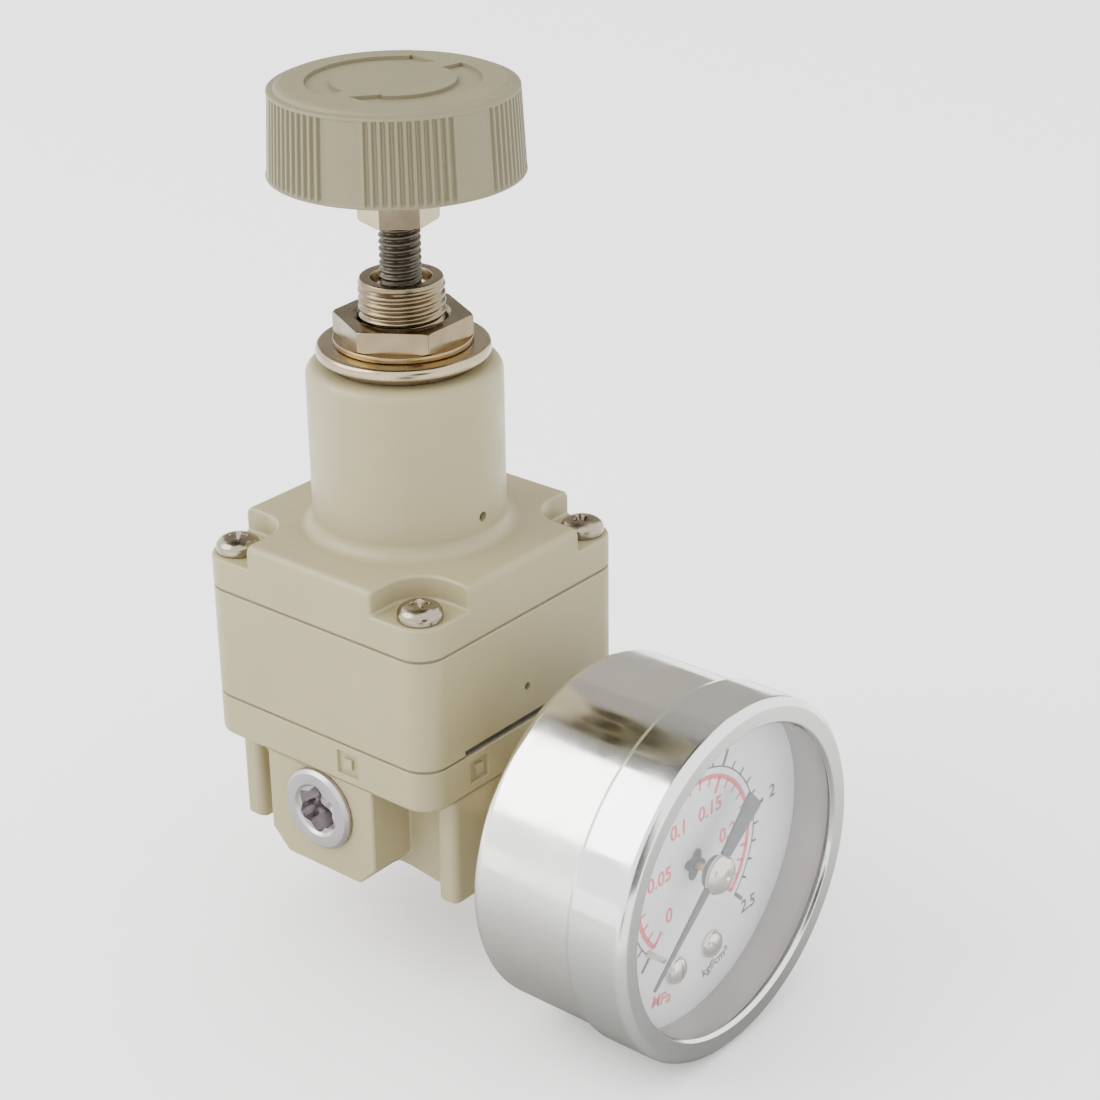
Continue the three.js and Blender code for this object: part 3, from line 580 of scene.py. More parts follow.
def pane(name):
    """A clear pane. It is thin and flat, so it lets the view through and only adds a faint film."""
    made = Surface(name, Alpha=0.07, Base_Color=(0.9, 0.93, 0.95, 1), IOR=1.5)
    return made.finish(None, (300.0, 4.0, 0.03, 0.10), [(60.0, 1.0, 2e-5, 0.1)])


NICKEL, NICKEL_SHADE = (0.44, 0.365, 0.245), (0.32, 0.26, 0.17)
WORN_NICKEL, WORN_SHADE = (0.27, 0.215, 0.135), (0.18, 0.14, 0.085)
ZINC, ZINC_SHADE = (0.74, 0.72, 0.70), (0.55, 0.53, 0.51)
BRASS, BRASS_SHADE = (0.76, 0.60, 0.30), (0.60, 0.46, 0.22)
STEEL, STEEL_SHADE = (0.16, 0.14, 0.11), (0.07, 0.06, 0.045)
CHROME = (0.84, 0.83, 0.80)
CREAM, CREAM_SHADE = (0.280, 0.240, 0.129), (0.258, 0.222, 0.119)
KNOB_TONE, KNOB_SHADE = (0.165, 0.144, 0.082), (0.152, 0.133, 0.075)

GAUGE_AXIS = ("Y", PORT_HEIGHT * MM)   # the axis of turning marks on the gauge's pieces
SURFACES = {
    "painted_alloy": enamel("cream_enamel", CREAM, CREAM_SHADE, 0.42),
    "knob_plastic": moulded("knob_moulding", KNOB_TONE, KNOB_SHADE, 0.52),
    "nickel_plate": turned_metal("nickel_plate", NICKEL, NICKEL_SHADE, 0.17),
    "zinc_steel": turned_metal("zinc_plate", ZINC, ZINC_SHADE, 0.22),
    "brass": turned_metal("brass", BRASS, BRASS_SHADE, 0.25, *GAUGE_AXIS),
    "bronze": turned_metal("bronze", (0.62, 0.38, 0.2), (0.45, 0.27, 0.14), 0.3, *GAUGE_AXIS),
    "chrome": chrome("chrome_plate", CHROME, 0.15),
    "spring_steel": turned_metal("spring_steel", (0.5, 0.5, 0.49), (0.33, 0.33, 0.32), 0.35),
    "black_rubber": rubber("black_rubber", (0.03, 0.03, 0.028), (0.012, 0.012, 0.012)),
    "dial_white": dial_enamel("dial_enamel"),
    "needle_black": print_ink("needle_enamel", (0.07, 0.072, 0.075), (0.045, 0.047, 0.05)),
    "clear_pane": pane("clear_pane"),
    "ring_grey": turned_metal(
        "ring_grey", (0.40, 0.355, 0.325), (0.33, 0.29, 0.265), 0.36, *GAUGE_AXIS, 0.15, False),
}
DARK_STEEL = turned_metal("screw_steel", STEEL, STEEL_SHADE, 0.42)
SCREW_PLATE = turned_metal("cover_screw_plate", (0.36, 0.31, 0.235), (0.25, 0.21, 0.155), 0.2, marks=0.2)
SOCKET_PLATE = turned_metal("plug_plate", (0.52, 0.49, 0.50), (0.42, 0.39, 0.40), 0.3, "X", PORT_HEIGHT * MM)
SATIN_CHROME = chrome("satin_chrome", (0.80, 0.80, 0.79), 0.13, wave=0.1)
HUB_PLATE = turned_metal("hub_plate", (0.80, 0.72, 0.64), (0.66, 0.58, 0.5), 0.2, *GAUGE_AXIS)
SLEEVE_NICKEL = turned_metal("sleeve_nickel", WORN_NICKEL, WORN_SHADE, 0.2)
RUBBED_NICKEL = gold_rubbed("rubbed_nickel", WORN_NICKEL, WORN_SHADE, (0.34, 0.23, 0.09), 0.2, 62.2, 1.6)
RED_INK = print_ink("red_ink", (0.72, 0.075, 0.085), (0.60, 0.05, 0.06))
BLACK_INK = print_ink("black_ink", (0.05, 0.052, 0.055), (0.03, 0.03, 0.033))
SHEET_RUBBER = rubber("sheet_rubber", (0.17, 0.145, 0.095), (0.13, 0.11, 0.072))

for node, obj in frame["nodes"].items():
    coat(obj, SURFACES[SLOT_OF[node]])
for node in ("control_diaphragm", "lower_diaphragm"):
    frame["nodes"][node].data.materials[0] = SHEET_RUBBER


# ---- castings ----

SCREW_SPOTS = [(x * SCREW_AT, y * SCREW_AT) for x, y in ((-1, -1), (1, -1), (1, 1), (-1, 1))]


def screw_holes(low, high):
    return [rod(SCREW_HOLE, low, high, x, y, 24) for x, y in SCREW_SPOTS]


def side_rod(side, radius, start, end, columns=48):
    return turned_to(rod(radius, start, end, columns=columns), side)


def x_prism(section, half):
    """A prism along X. Its section is given as (y, z) points."""
    made = loft("prism", [(section, x) for x in (-half, half)])
    made.data.transform(Matrix(((0, 0, 1, 0), (1, 0, 0, 0), (0, 1, 0, 0), (0, 0, 0, 1))))
    return made


def port_thread(side):
    """The cutter for an open port's threaded bore."""
    low, high, depth = 10.0, 17.8, 0.45
    fine = thread(PORT_BORE, depth, PIPE_PITCH, low - 1, high + 1, 0.5)
    rows = [(0, low - 0.5), (PORT_BORE - depth, low - 0.5), *thread_rows(fine, low, high, PIPE_PITCH, 8),
            (0, high)]
    return turned_to(revolve("port_thread", rows, 64), side)


def lower_body():
    """Ports and supply valve chamber: a four-way cross with gauge and outlet pads under a flange."""
    body = square_bar("lower_body", BODY_HALF, BODY_CORNER, FLANGE_LOW, LOWER_TOP, 0.5, SEAM_EDGE)
    bar_half, bar_low, chamfer = 8.4, 0.6, 2.6
    bar = [(-bar_half, CROSS_TOP), (-bar_half, bar_low + chamfer), (-bar_half + chamfer, bar_low),
           (bar_half - chamfer, bar_low), (bar_half, bar_low + chamfer), (bar_half, CROSS_TOP)]
    web = [(-15, CROSS_TOP), (-15, 0.1), (-8, 0.8), (8, 0.8), (15, 0.1), (15, CROSS_TOP)]
    pads = []
    for near, far in ((-PAD_OUTER, -PAD_INNER), (PAD_INNER, PAD_OUTER)):
        outline = rounded_loop(-PAD_HALF, PAD_HALF, near, far, 1.0, 5)
        pads.append(loft("pad", [(outline, 0), (outline, CROSS_TOP)]))
    add(body, x_prism(bar, PAD_OUTER), x_prism(web, 11.0), *pads)
    marks = [block(-18, -17.1, -6.6, -3.4, 15.1, 18.0), block(-10.2, -7.1, -18, -17.1, 15.1, 18.0)]
    rims = [side_rod(side, PORT_RIM, PAD_OUTER - 0.6, 19, 72) for side in range(4)]
    cut(body, rod(10.0, 13.6, 20), rod(6.1, -1, 3.3, columns=72), *marks, *rims)
    foot_step = 0.3   # the step between web and pad underneath is too low to round
    round_edges(body, CAST_EDGE, where=lambda spot: spot.z < FLANGE_LOW + 0.4
                and not (spot.z < 0.5 and abs(abs(spot.y) - PAD_INNER) < foot_step))
    round_edges(body, 0.12, steps=2, where=lambda spot: spot.z > FLANGE_LOW + 0.6)
    glyphs = [block(-17.45, -17.0, -5.6, -4.4, 15.9, 17.2), block(-9.2, -8.1, -17.45, -17.0, 15.9, 17.2)]
    bores = [side_rod(side, PORT_BORE, 9.5, 17.5, 64) for side in (2, 3)]
    ends = [side_rod(side, 3.0 if side else 2.0, 7.2, 10.8, 32) for side in range(4)]
    cut(body, *bores, *ends, port_thread(0), port_thread(1), rod(5.2, 2, 11.2), rod(3.15, 10, 15),
        *screw_holes(14.8, 20))
    return stand_for(merge(body, *glyphs), "lower_body")


def middle_body():
    """Pilot and feedback chambers, with the vent slot and the bleed hole on the gauge side."""
    body = square_bar(
        "middle_body", BODY_HALF, BODY_CORNER, MIDDLE_LOW, MIDDLE_HIGH, SEAM_EDGE, SEAM_EDGE)
    cut(body, rod(12.0, 18, 24.2, columns=72), rod(8.0, 20, 26.6), rod(2.05, 25, 30),
        rod(11.4, 29.0, 34, columns=72), block(-11.1, 11.1, -18, -16.6, 18, MIDDLE_LOW + 0.7))
    bleed = moved(side_rod(3, 0.5, 11, 18, 24), z=BLEED_HEIGHT - PORT_HEIGHT)
    cut(body, bleed, *screw_holes(18, 34))
    return stand_for(body, "middle_body")


def neck():
    """The spring neck, filleted into the flange top and rounded at its own top."""
    fillet, rounding = 1.7, 1.4
    foot = BONNET_TOP - 0.02
    profile = [(0, 36.5, 0), (NECK_RADIUS + fillet, 36.5, 0), (NECK_RADIUS + fillet, foot, 0)]
    for sine, cosine in quarter(8)[1:]:
        profile.append((NECK_RADIUS + fillet * (1 - sine), foot + fillet * (1 - cosine), 0))
    profile += [(NECK_RADIUS, NECK_TOP, rounding), (0, NECK_TOP, 0)]
    return revolve("neck", soften(profile, 6), 128)


def pocket(x, y):
    """The cutter for the screw pocket in one corner: a round seat, open to both sides."""
    far_x, far_y = copysign(19.0, x), copysign(19.0, y)
    near_x, near_y = x - copysign(POCKET_RADIUS, x), y - copysign(POCKET_RADIUS, y)
    levels = (POCKET_FLOOR, BONNET_TOP + 2)
    return [
        rod(POCKET_RADIUS, *levels, x, y, 64),
        block(*sorted((near_x, far_x)), *sorted((y, far_y)), *levels),
        block(*sorted((x, far_x)), *sorted((near_y, far_y)), *levels)]


def bonnet():
    """The cover that holds the setting spring, with four screw pockets and the neck."""
    body = square_bar("bonnet", BODY_HALF, BODY_CORNER, BONNET_LOW, BONNET_TOP, SEAM_EDGE, 1.0)
    cut(body, *[solid for x, y in SCREW_SPOTS for solid in pocket(x, y)])
    round_edges(body, 0.42, least=38, steps=4, where=lambda spot: spot.z > POCKET_FLOOR - 0.5)
    add(body, neck())
    vent = moved(side_rod(3, 0.6, 7, 13, 32), z=VENT_HEIGHT - PORT_HEIGHT)
    cut(body, rod(11.4, 32, 36.2, columns=72), rod(8.3, 32, 57.4), rod(5.0, 56, 61), vent,
        *screw_holes(32, 42))
    return stand_for(body, "bonnet")


# ---- neck stack, knob and screw ----

def bonnet_sleeve():
    """The threaded sleeve that stands out of the neck, with a collar under the washer."""
    low, high = heights("bonnet_sleeve")
    radius, bore, mouth, collar, pitch = 4.95, 2.6, 3.35, 8.6, 1.0
    washer_low = heights("panel_washer")[0]
    fine = thread(radius, 0.42, pitch, washer_low, high - 0.15, 0.7)
    lower = [(bore, low, 0), (radius, low, 0), (radius, NECK_TOP + SEAT, 0), (collar, NECK_TOP + SEAT, 0.1),
             (collar, washer_low - SEAT, 0.1), (radius, washer_low - SEAT, 0)]
    rim = [(radius - 0.1, high - 0.45, 0), (radius - 0.25, high, 0.2), (mouth + 0.15, high, 0.12),
           (mouth - 0.15, high - 1.3, 0.3), (bore, high - 2.0, 0.2), (bore, high - 4.0, 0)]
    rows = soften(lower) + thread_rows(fine, washer_low, high - 0.6, pitch, 12) + soften(rim)
    return stand_for(revolve("sleeve", rows, 96), "bonnet_sleeve", SLEEVE_NICKEL, 50)


def panel_washer():
    low, high = extent("panel_washer")
    profile = [(5.15, low.z, 0.1), (high.x, low.z, 0.55), (high.x, high.z, 0.6), (5.15, high.z, 0.1)]
    return stand_for(revolve("washer", soften(profile, 6), 128), "panel_washer")


def panel_nut():
    """The nut that clamps the panel, with a round collar under it."""
    low, high = heights("panel_nut")
    rise = 0.73
    body = nut_blank(14.0, low + rise, high, 3.3, 5.0)
    collar = revolve("collar", soften([
        (5.2, low, 0), (8.0, low, 0.2), (8.0, low + rise, 0.15), (5.2, low + rise + 0.1, 0)]), 96)
    return stand_for(merge(body, collar), "panel_nut", RUBBED_NICKEL, 30)


GRIP_GROUPS, GRIP_COUNT, GRIP_STEP = 6, 11, radians(3.78)
GRIP_FIRST = radians(-131)
GROOVE_HALF = radians(1.25)
PANEL_SINK = 0.3


def grip_angles():
    """Angles that catch each groove's shape, and a few across each plain panel."""
    angles = []
    for group in range(GRIP_GROUPS):
        centre = GRIP_FIRST + FULL_TURN * group / GRIP_GROUPS
        first = centre - GRIP_STEP * (GRIP_COUNT - 1) / 2
        for k in range(GRIP_COUNT):
            angles.extend(first + GRIP_STEP * k + GROOVE_HALF * s for s in (-1, -0.72, -0.35, 0.35, 0.72, 1))
        last = first + GRIP_STEP * (GRIP_COUNT - 1) + GROOVE_HALF
        gap = FULL_TURN / GRIP_GROUPS - GRIP_STEP * (GRIP_COUNT - 1) - 2 * GROOVE_HALF
        angles.extend(last + gap * s for s in (0.05, 0.09, 0.13, 0.3, 0.5, 0.7, 0.87, 0.91, 0.95))
    return angles


def grip_depth(angle):
    """How deep the grip is cut at an angle: 1 at the bottom of a groove, and less on a plain panel."""
    sector = FULL_TURN / GRIP_GROUPS
    turn = (angle - GRIP_FIRST + sector / 2) % sector - sector / 2
    edge = GRIP_STEP * (GRIP_COUNT - 1) / 2 + GROOVE_HALF
    if abs(turn) > edge:
        past = min(1.0, (abs(turn) - edge) / radians(1.6))
        return PANEL_SINK * past
    nearest = (turn / GRIP_STEP + 0.5) % 1.0 - 0.5
    across = abs(nearest) * GRIP_STEP / GROOVE_HALF
    return max(0.0, cos(min(1.0, across) * QUARTER)) ** 0.7


def ribbed(base, depth):
    return lambda angle, height: base - depth * grip_depth(angle)


def arrow(middle, start, sweep, width, head, low, high):
    """A curved arrow about Z, from a start angle clockwise, as a solid between two heights."""
    inner, outer = middle - width / 2, middle + width / 2
    count = 28
    turns = [start - sweep * k / count for k in range(count + 1)]
    end = turns[-1]
    tip = [polar(middle + head, end), polar(middle, end - 1.8 * head / middle), polar(middle - head, end)]
    loop = along(outer, turns) + tip + along(inner, reversed(turns))
    return loft("arrow", [(loop, low), (loop, high)])


def knob():
    """The adjusting knob: a ribbed, slightly tapered cap with two curved arrows sunk in its top."""
    low, top = heights("knob")
    skirt, grip_low, grip_top, rim, shoulder = 81.95, 82.15, 91.3, 14.35, 13.85
    bore, boss, cavity, ceiling = 2.45, 5.2, 12.4, 88.4
    inside = soften([
        (0, 87.9, 0), (bore, 87.9, 0), (bore, low, 0.15), (boss, low, 0.2), (boss, ceiling, 0.4),
        (cavity, ceiling, 0.5), (cavity, skirt, 0.15), (rim + 0.04, skirt, 0.15), (rim + 0.04, grip_low, 0)])
    grip = []
    for share, depth in ((0.0, 0.0), (0.02, 0.65), (0.045, 1.0), (0.25, 1.0), (0.5, 1.0), (0.75, 1.0),
                         (0.96, 1.0), (0.985, 0.85), (1.0, 0.45)):
        height = grip_low + 0.03 + (grip_top - grip_low - 0.03) * share
        grip.append((ribbed(rim - (rim - shoulder) * share, 0.4 * depth), height))
    cap = soften([
        (shoulder, grip_top + 0.03, 0), (shoulder, 91.62, 0.25), (13.1, 91.68, 0.12), (12.75, 92.02, 0.2),
        (12.3, top, 0.35), (0, top, 0)], 5)
    rows = inside + grip + cap
    body = revolve("knob", rows, angles=grip_angles())
    ribs = [moved(block(boss - 0.4, cavity + 0.4, -0.55, 0.55, low + 3.2, ceiling + 0.3), turn=turn)
            for turn in turns_about(6, GRIP_FIRST)]
    arrows = [arrow(8.3, radians(start), radians(140), 2.8, 1.95, top - 0.42, top + 1)
              for start in (172, -8)]
    cut(body, *arrows)
    return stand_for(merge(body, *ribs), "knob", sharp=40)


def adjusting_screw():
    low, high = heights("adjusting_screw")
    radius, pitch = 2.4, 0.8
    start, end = low + 1.8, high - 0.6
    fine = thread(radius, 0.36, pitch, start, end, 0.5)
    tip = soften([(0, low, 0), (1.2, low, 0.4), (radius - 0.1, start - 0.2, 0)])
    rows = [*tip, *thread_rows(fine, start, end, pitch, 9), (radius - 0.4, high), (0, high)]
    return stand_for(revolve("screw", rows, 64), "adjusting_screw", DARK_STEEL, 60)


def lock_nut():
    low, high = heights("lock_nut")
    return stand_for(nut_blank(8.0, low, high, 14.0, 2.46), "lock_nut", sharp=30)


# ---- fasteners ----

def cross_recess(top, reach, depth):
    """The cutter for a cross recess: two tapered wings and a pointed middle."""
    wings = []
    for turn in (0, QUARTER):
        loops = []
        for share, half in ((1.0, reach), (0.0, reach * 0.42)):
            width = 0.34 if share else 0.2
            loop = ((-half, -width), (half, -width), (half, width), (-half, width))
            loops.append((loop, top - depth * (1 - share) + (0.6 if share else 0)))
        wings.append(moved(loft("wing", loops), turn=turn))
    over = top + 0.6
    cone = revolve("cone", [(0, top - depth - 0.25), (0.62, top - depth * 0.35), (0.8, over), (0, over)], 24)
    return [*wings, cone]


def cover_screws():
    """Four pan-head screws that stand in the bonnet's pockets."""
    low, high = heights("cover_screw_1")
    under, shank, head = POCKET_FLOOR + SEAT, 1.5, 2.6
    dome = under + 0.65
    profile = [(0, low, 0), (shank - 0.4, low, 0), (shank, low + 0.4, 0), (shank, under, 0),
               (head, under, 0.1), (head, dome, 0)]
    rows = soften(profile)
    rows += [(head * cosine ** 0.85, dome + (high - dome) * sine) for sine, cosine in quarter(8)[1:]]
    for index, (x, y) in enumerate(SCREW_SPOTS, 1):
        screw = cut(revolve("screw", rows, 48), *cross_recess(high, 1.45, 1.25))
        round_edges(screw, 0.05, least=40, steps=2, where=lambda spot: spot.z > under + 0.8)
        moved(screw, x, y, turn=radians(17 + 29 * index))
        stand_for(screw, f"cover_screw_{index}", SCREW_PLATE, 40)


def port_plug():
    """The plug of the spare port: a flanged head with a six-lobed socket."""
    inner, seat, outer, head, chamfer = 10.9, PAD_OUTER + SEAT, -extent("port_plug")[0].x, 5.1, 0.4
    sink, run = outer - 0.3, seat - 0.3
    fine = thread(PIPE_RADIUS, 0.3, PIPE_PITCH, inner, run, 0.5)
    rows = [(0, inner), (PIPE_RADIUS - 0.3, inner), *thread_rows(fine, inner + 0.3, run, PIPE_PITCH, 8),
            *soften([(PIPE_RADIUS, seat, 0), (head, seat, 0.05), (head, outer - chamfer, 0.1),
                     (head - chamfer, outer, 0.12), (3.35, outer, 0.1), (3.0, sink, 0), (0, sink, 0)])]
    body = revolve("plug", rows, 96)
    depth, loops = 3.6, []
    for share, height in ((0.05, outer - depth - 1.2), (1.0, outer - depth), (1.0, outer + 1)):
        lobes = [polar(share * (2.72 + 0.3 * cos(6 * turn)), turn) for turn in turns_about(96)]
        loops.append((lobes, height))
    cut(body, loft("socket", loops))
    return stand_for(turned_to(body, 2), "port_plug", SOCKET_PLATE, 40)


def valve_guide():
    """The brass cap that closes the body from below, with two holes for a pin spanner."""
    profile = [(0, 0, 0), (6.0, 0, 0.35), (6.0, 3.2, 0), (3.4, 3.2, 0.1), (3.4, 5.2, 0.1), (1.2, 5.2, 0.1),
               (1.2, 1.8, 0), (0, 1.8, 0)]
    body = revolve("guide", soften(profile), 96)
    ring = revolve("ring", soften([(4.9, -0.5, 0), (5.15, -0.5, 0), (5.15, 0.25, 0), (4.9, 0.25, 0)]), 96)
    cut(body, ring, *[rod(0.7, -1, 1.2, side * 3.6, 0, 32) for side in (-1, 1)])
    return stand_for(body, "valve_guide", turned_metal("guide_brass", BRASS, BRASS_SHADE, 0.24), 35)


# ---- gauge, drawn about Z with its face up ----

BEZEL_REAR, GAUGE_FRONT = gauge_span("gauge_bezel")
BEZEL_RADIUS = extent("gauge_bezel")[1].x
BEZEL_OPENING = 18.5
CASE_REAR = gauge_span("gauge_case")[0]
CASE_RADIUS = extent("gauge_case")[1].x
DIAL_REAR, DIAL_FACE = gauge_span("gauge_dial")
DIAL_RADIUS = 20.2
ARBOR_RADIUS = 0.45


def gauge_turned(node, profile, columns, steps=4, surface=None, sharp=35):
    """A turned piece of the gauge, from (radius, height, rounding) corners."""
    made = tipped(revolve(node, soften(profile, steps), columns))
    return stand_for(made, node, surface, sharp)


def gauge_connector():
    """The brass stem that screws into the body, with its spanner hexagon."""
    hex_low, hex_high = 18.2, 26.0
    low = gauge_span("gauge_connector")[0]
    fine = thread(PIPE_RADIUS, 0.4, PIPE_PITCH, low, hex_low, 0.4)
    stem = revolve("stem", [(0, low), (3.8, low), *thread_rows(fine, low + 0.3, hex_low - 0.2, PIPE_PITCH, 8),
                            (3.9, hex_low + 0.3), (0, hex_low + 0.3)], 64)
    nut = nut_blank(12.0, hex_low, hex_high, 0, 1.2)
    boss = revolve("boss", soften([(1.2, hex_high - 0.5, 0), (4.0, hex_high - 0.5, 0), (4.0, 30.5, 0.2),
                                   (1.2, 30.5, 0)]), 64)
    return stand_for(tipped(merge(nut, stem, boss)), "gauge_connector", sharp=35)


def gauge_case():
    """The drawn cup of the gauge."""
    wall, front = 0.5, 43.4
    outer, inner = CASE_RADIUS, CASE_RADIUS - wall
    profile = [
        (4.15, CASE_REAR, 0), (5.4, CASE_REAR, 0), (outer, CASE_REAR, 1.5), (outer, front, 0.1),
        (inner, front, 0.1), (inner, CASE_REAR + wall, 1.0), (4.15, CASE_REAR + wall, 0)]
    return gauge_turned("gauge_case", profile, 192, 8)


def gauge_bezel():
    """The rolled ring that holds the pane, with a bead at its rear edge and a flat front lip."""
    outer, skirt, lip = BEZEL_RADIUS, 0.45, 0.65
    inner = outer - skirt
    profile = [
        (inner, BEZEL_REAR, 0.12), (outer - 0.12, BEZEL_REAR, 0.15), (outer, BEZEL_REAR + 0.5, 0.3),
        (outer, GAUGE_FRONT - 0.75, 0.9), (outer - 0.85, GAUGE_FRONT - 0.02, 0.45),
        (BEZEL_OPENING + 0.35, GAUGE_FRONT - 0.06, 0.25), (BEZEL_OPENING, GAUGE_FRONT - 0.5, 0.12),
        (BEZEL_OPENING + 0.1, GAUGE_FRONT - lip, 0.05), (inner, GAUGE_FRONT - lip, 0)]
    return gauge_turned("gauge_bezel", profile, 192, 7, SATIN_CHROME, 50)


def dial_ring():
    """The ring that holds the pane off the dial, with a lip under the pane."""
    low, high = gauge_span("dial_ring")
    inner, outer, lip = 19.85, 20.35, 19.55
    profile = [
        (inner, low, 0.1), (outer, low, 0), (outer, high, 0), (lip, high, 0.1), (lip, high - 0.7, 0.15)]
    return gauge_turned("dial_ring", profile, 144)


def gauge_window():
    low, high = gauge_span("gauge_window")
    profile = [(0, low, 0), (DIAL_RADIUS, low, 0.15), (DIAL_RADIUS, high, 0.15), (0, high, 0)]
    return gauge_turned("gauge_window", profile, 144)


SCALE_ZERO, SCALE_SWEEP = radians(225), radians(270)
SCREW_X, SCREW_Y = 3.4, -12.5
PIN_X, PIN_Y = -8.4, -7.6


def gauge_dial():
    """The white dial, with holes for its screws, the stop pin and the pointer's arbor."""
    profile = [
        (0, DIAL_REAR, 0), (DIAL_RADIUS, DIAL_REAR, 0.1), (DIAL_RADIUS, DIAL_FACE, 0.15), (0, DIAL_FACE, 0)]
    body = revolve("dial", soften(profile), 144)
    holes = [rod(0.8, 39, 43, side * SCREW_X, SCREW_Y, 24) for side in (-1, 1)]
    holes.append(rod(0.45, 39, 43, PIN_X, PIN_Y, 24))
    cut(body, *holes, rod(1.0, 39, 43))
    return stand_for(tipped(body), "gauge_dial", sharp=35)


def bar_mark(turn, inner, outer, width, low, high):
    return moved(block(inner, outer, -width / 2, width / 2, low, high), turn=turn)


def arc_mark(inner, outer, start, end, low, high, steps=72):
    turns = [start + (end - start) * k / steps for k in range(steps + 1)]
    loop = along(outer, turns) + along(inner, reversed(turns))
    return loft("arc", [(loop, low), (loop, high)])


def lettering(text, size, x, y, low, high, turn=0.0):
    """Flat raised lettering, centred on a point of the dial."""
    curve = bpy.data.curves.new("lettering", "FONT")
    curve.body = text
    curve.size = size
    curve.align_x = "CENTER"
    curve.align_y = "CENTER"
    curve.resolution_u = 4
    curve.extrude = (high - low) / 2
    curve.offset = 0.02 * size
    source = new_object("lettering", curve)
    graph = bpy.context.evaluated_depsgraph_get()
    mesh = bpy.data.meshes.new_from_object(source.evaluated_get(graph))
    bpy.data.objects.remove(source)
    made = new_object("lettering", mesh)
    with editing(mesh) as work:
        bmesh.ops.remove_doubles(work, verts=work.verts, dist=1e-4)
    return moved(made, x, y, (low + high) / 2, turn)


def scale_turn(share):
    return SCALE_ZERO - SCALE_SWEEP * share


def printed_scale(name, ink, base, arc, minor, major, figures, size, figure_at, extra):
    """One printed scale: an arc, its ticks and its figures, as raised ink on the dial."""
    low, high = DIAL_FACE - 0.02, DIAL_FACE + 0.03
    made = arc_mark(*arc, SCALE_ZERO, SCALE_ZERO - SCALE_SWEEP, low, high)
    parts = []
    for k in range(5 * 5 + 1):
        reach, width = (major, 0.5) if k % 5 == 0 else (minor, 0.3)
        parts.append(bar_mark(scale_turn(k / 25), *sorted((base, reach)), width, low, high))
    for k, text in enumerate(figures):
        x, y = polar(figure_at, scale_turn(k / 5))
        parts.append(lettering(text, size, x, y, low, high))
    parts += [lettering(text, height, x, y, low, high, lean) for text, height, x, y, lean in extra]
    merge(made, *parts)
    return dress_dial(made, name, ink)


def dress_dial(made, name, ink):
    """Finishes a piece that is fixed to the dial and stands for no CAD node."""
    in_metres(tipped(made), name, ink)
    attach(made, frame["nodes"]["gauge_dial"]["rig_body"])
    return made


def dial_shade_lobes():
    """A black four-lobed disc on the dial round the pointer's arbor: painted shade standing in for the dark
    opening where the arbor leaves the dial.
    """
    lean = radians(80)
    loop = [polar(1.5 + 0.4 * cos(4 * turn + lean), turn) for turn in turns_about(80)]
    shade_lobes = loft("shade_lobes", [(loop, DIAL_FACE - 0.02), (loop, DIAL_FACE + 0.35)])
    cut(shade_lobes, rod(0.55, 40, 44, columns=24))
    # the black ink here is painted shade, not a part's own colour
    return dress_dial(round_edges(shade_lobes, 0.08, least=50, steps=2), "dial_shade_lobes", BLACK_INK)


def dial_screws():
    """Two domed screws that hold the dial."""
    low, tip = DIAL_FACE + SEAT, gauge_span("dial_screw_1")[0]
    rows = [(0, tip), (0.7, tip), (0.7, low), (1.62, low), (1.7, low + 0.08), (1.7, low + 0.26)]
    rows += [(1.64 * cosine, low + 0.32 + 0.85 * sine) for sine, cosine in quarter(8)]
    for index, side in enumerate((-1, 1), 1):
        screw = revolve("dial_screw", rows, 48)
        slit = block(-2, 2, -0.14, 0.14, low + 0.85, low + 2)
        cut(screw, moved(slit, turn=radians(35 + 50 * index)))
        moved(screw, side * SCREW_X, SCREW_Y)
        stand_for(tipped(screw), f"dial_screw_{index}", HUB_PLATE, 40)


def dial_pin():
    """The stop pin at the scale's low end."""
    low, top = gauge_span("dial_pin")
    pin = revolve("pin", soften([(0, low, 0), (0.38, low, 0), (0.38, top, 0.18), (0, top, 0)]), 32)
    return stand_for(tipped(moved(pin, PIN_X, PIN_Y)), "dial_pin", HUB_PLATE, 40)


NEEDLE_TOP, NEEDLE_TURN = gauge_span("gauge_needle")[1], radians(221)


def gauge_needle():
    """The pointer: a slim tip, a broad counterweight tail and a disc under its boss."""
    tip, tail, eye, thickness = 15.0, 9.8, 2.0, 0.35
    half = [(tip, 0.08), (tip - 0.6, 0.17), (1.9, 0.62), (-2.4, 0.95), (-tail + 0.25, 1.65), (-tail, 1.45)]
    loop = half + [(x, -y) for x, y in reversed(half)]
    low, high = NEEDLE_TOP - thickness, NEEDLE_TOP
    body = add(loft("needle", [(loop, low), (loop, high)]), rod(eye, low - 0.4, high - 0.01))
    cut(body, rod(0.5, low - 1, high + 1, columns=24))
    round_edges(body, 0.06, least=40, steps=2)
    moved(body, turn=NEEDLE_TURN)
    return stand_for(tipped(body), "gauge_needle", sharp=35)


def needle_hub():
    """The domed boss over the pointer, with a dimple at its middle."""
    low, high = gauge_span("needle_hub")
    rows = soften([(0, low, 0), (2.4, low, 0.1), (2.4, low + 0.45, 0.3), (2.0, low + 1.1, 0.6),
                   (1.1, high, 0.5), (0.42, high, 0.06), (0.3, high - 0.3, 0.1), (0, high - 0.3, 0)], 5)
    body = revolve("hub", rows, 64)
    cut(body, rod(0.5, low - 1, low + 0.5, columns=24))
    return stand_for(tipped(body), "needle_hub", HUB_PLATE, 40)


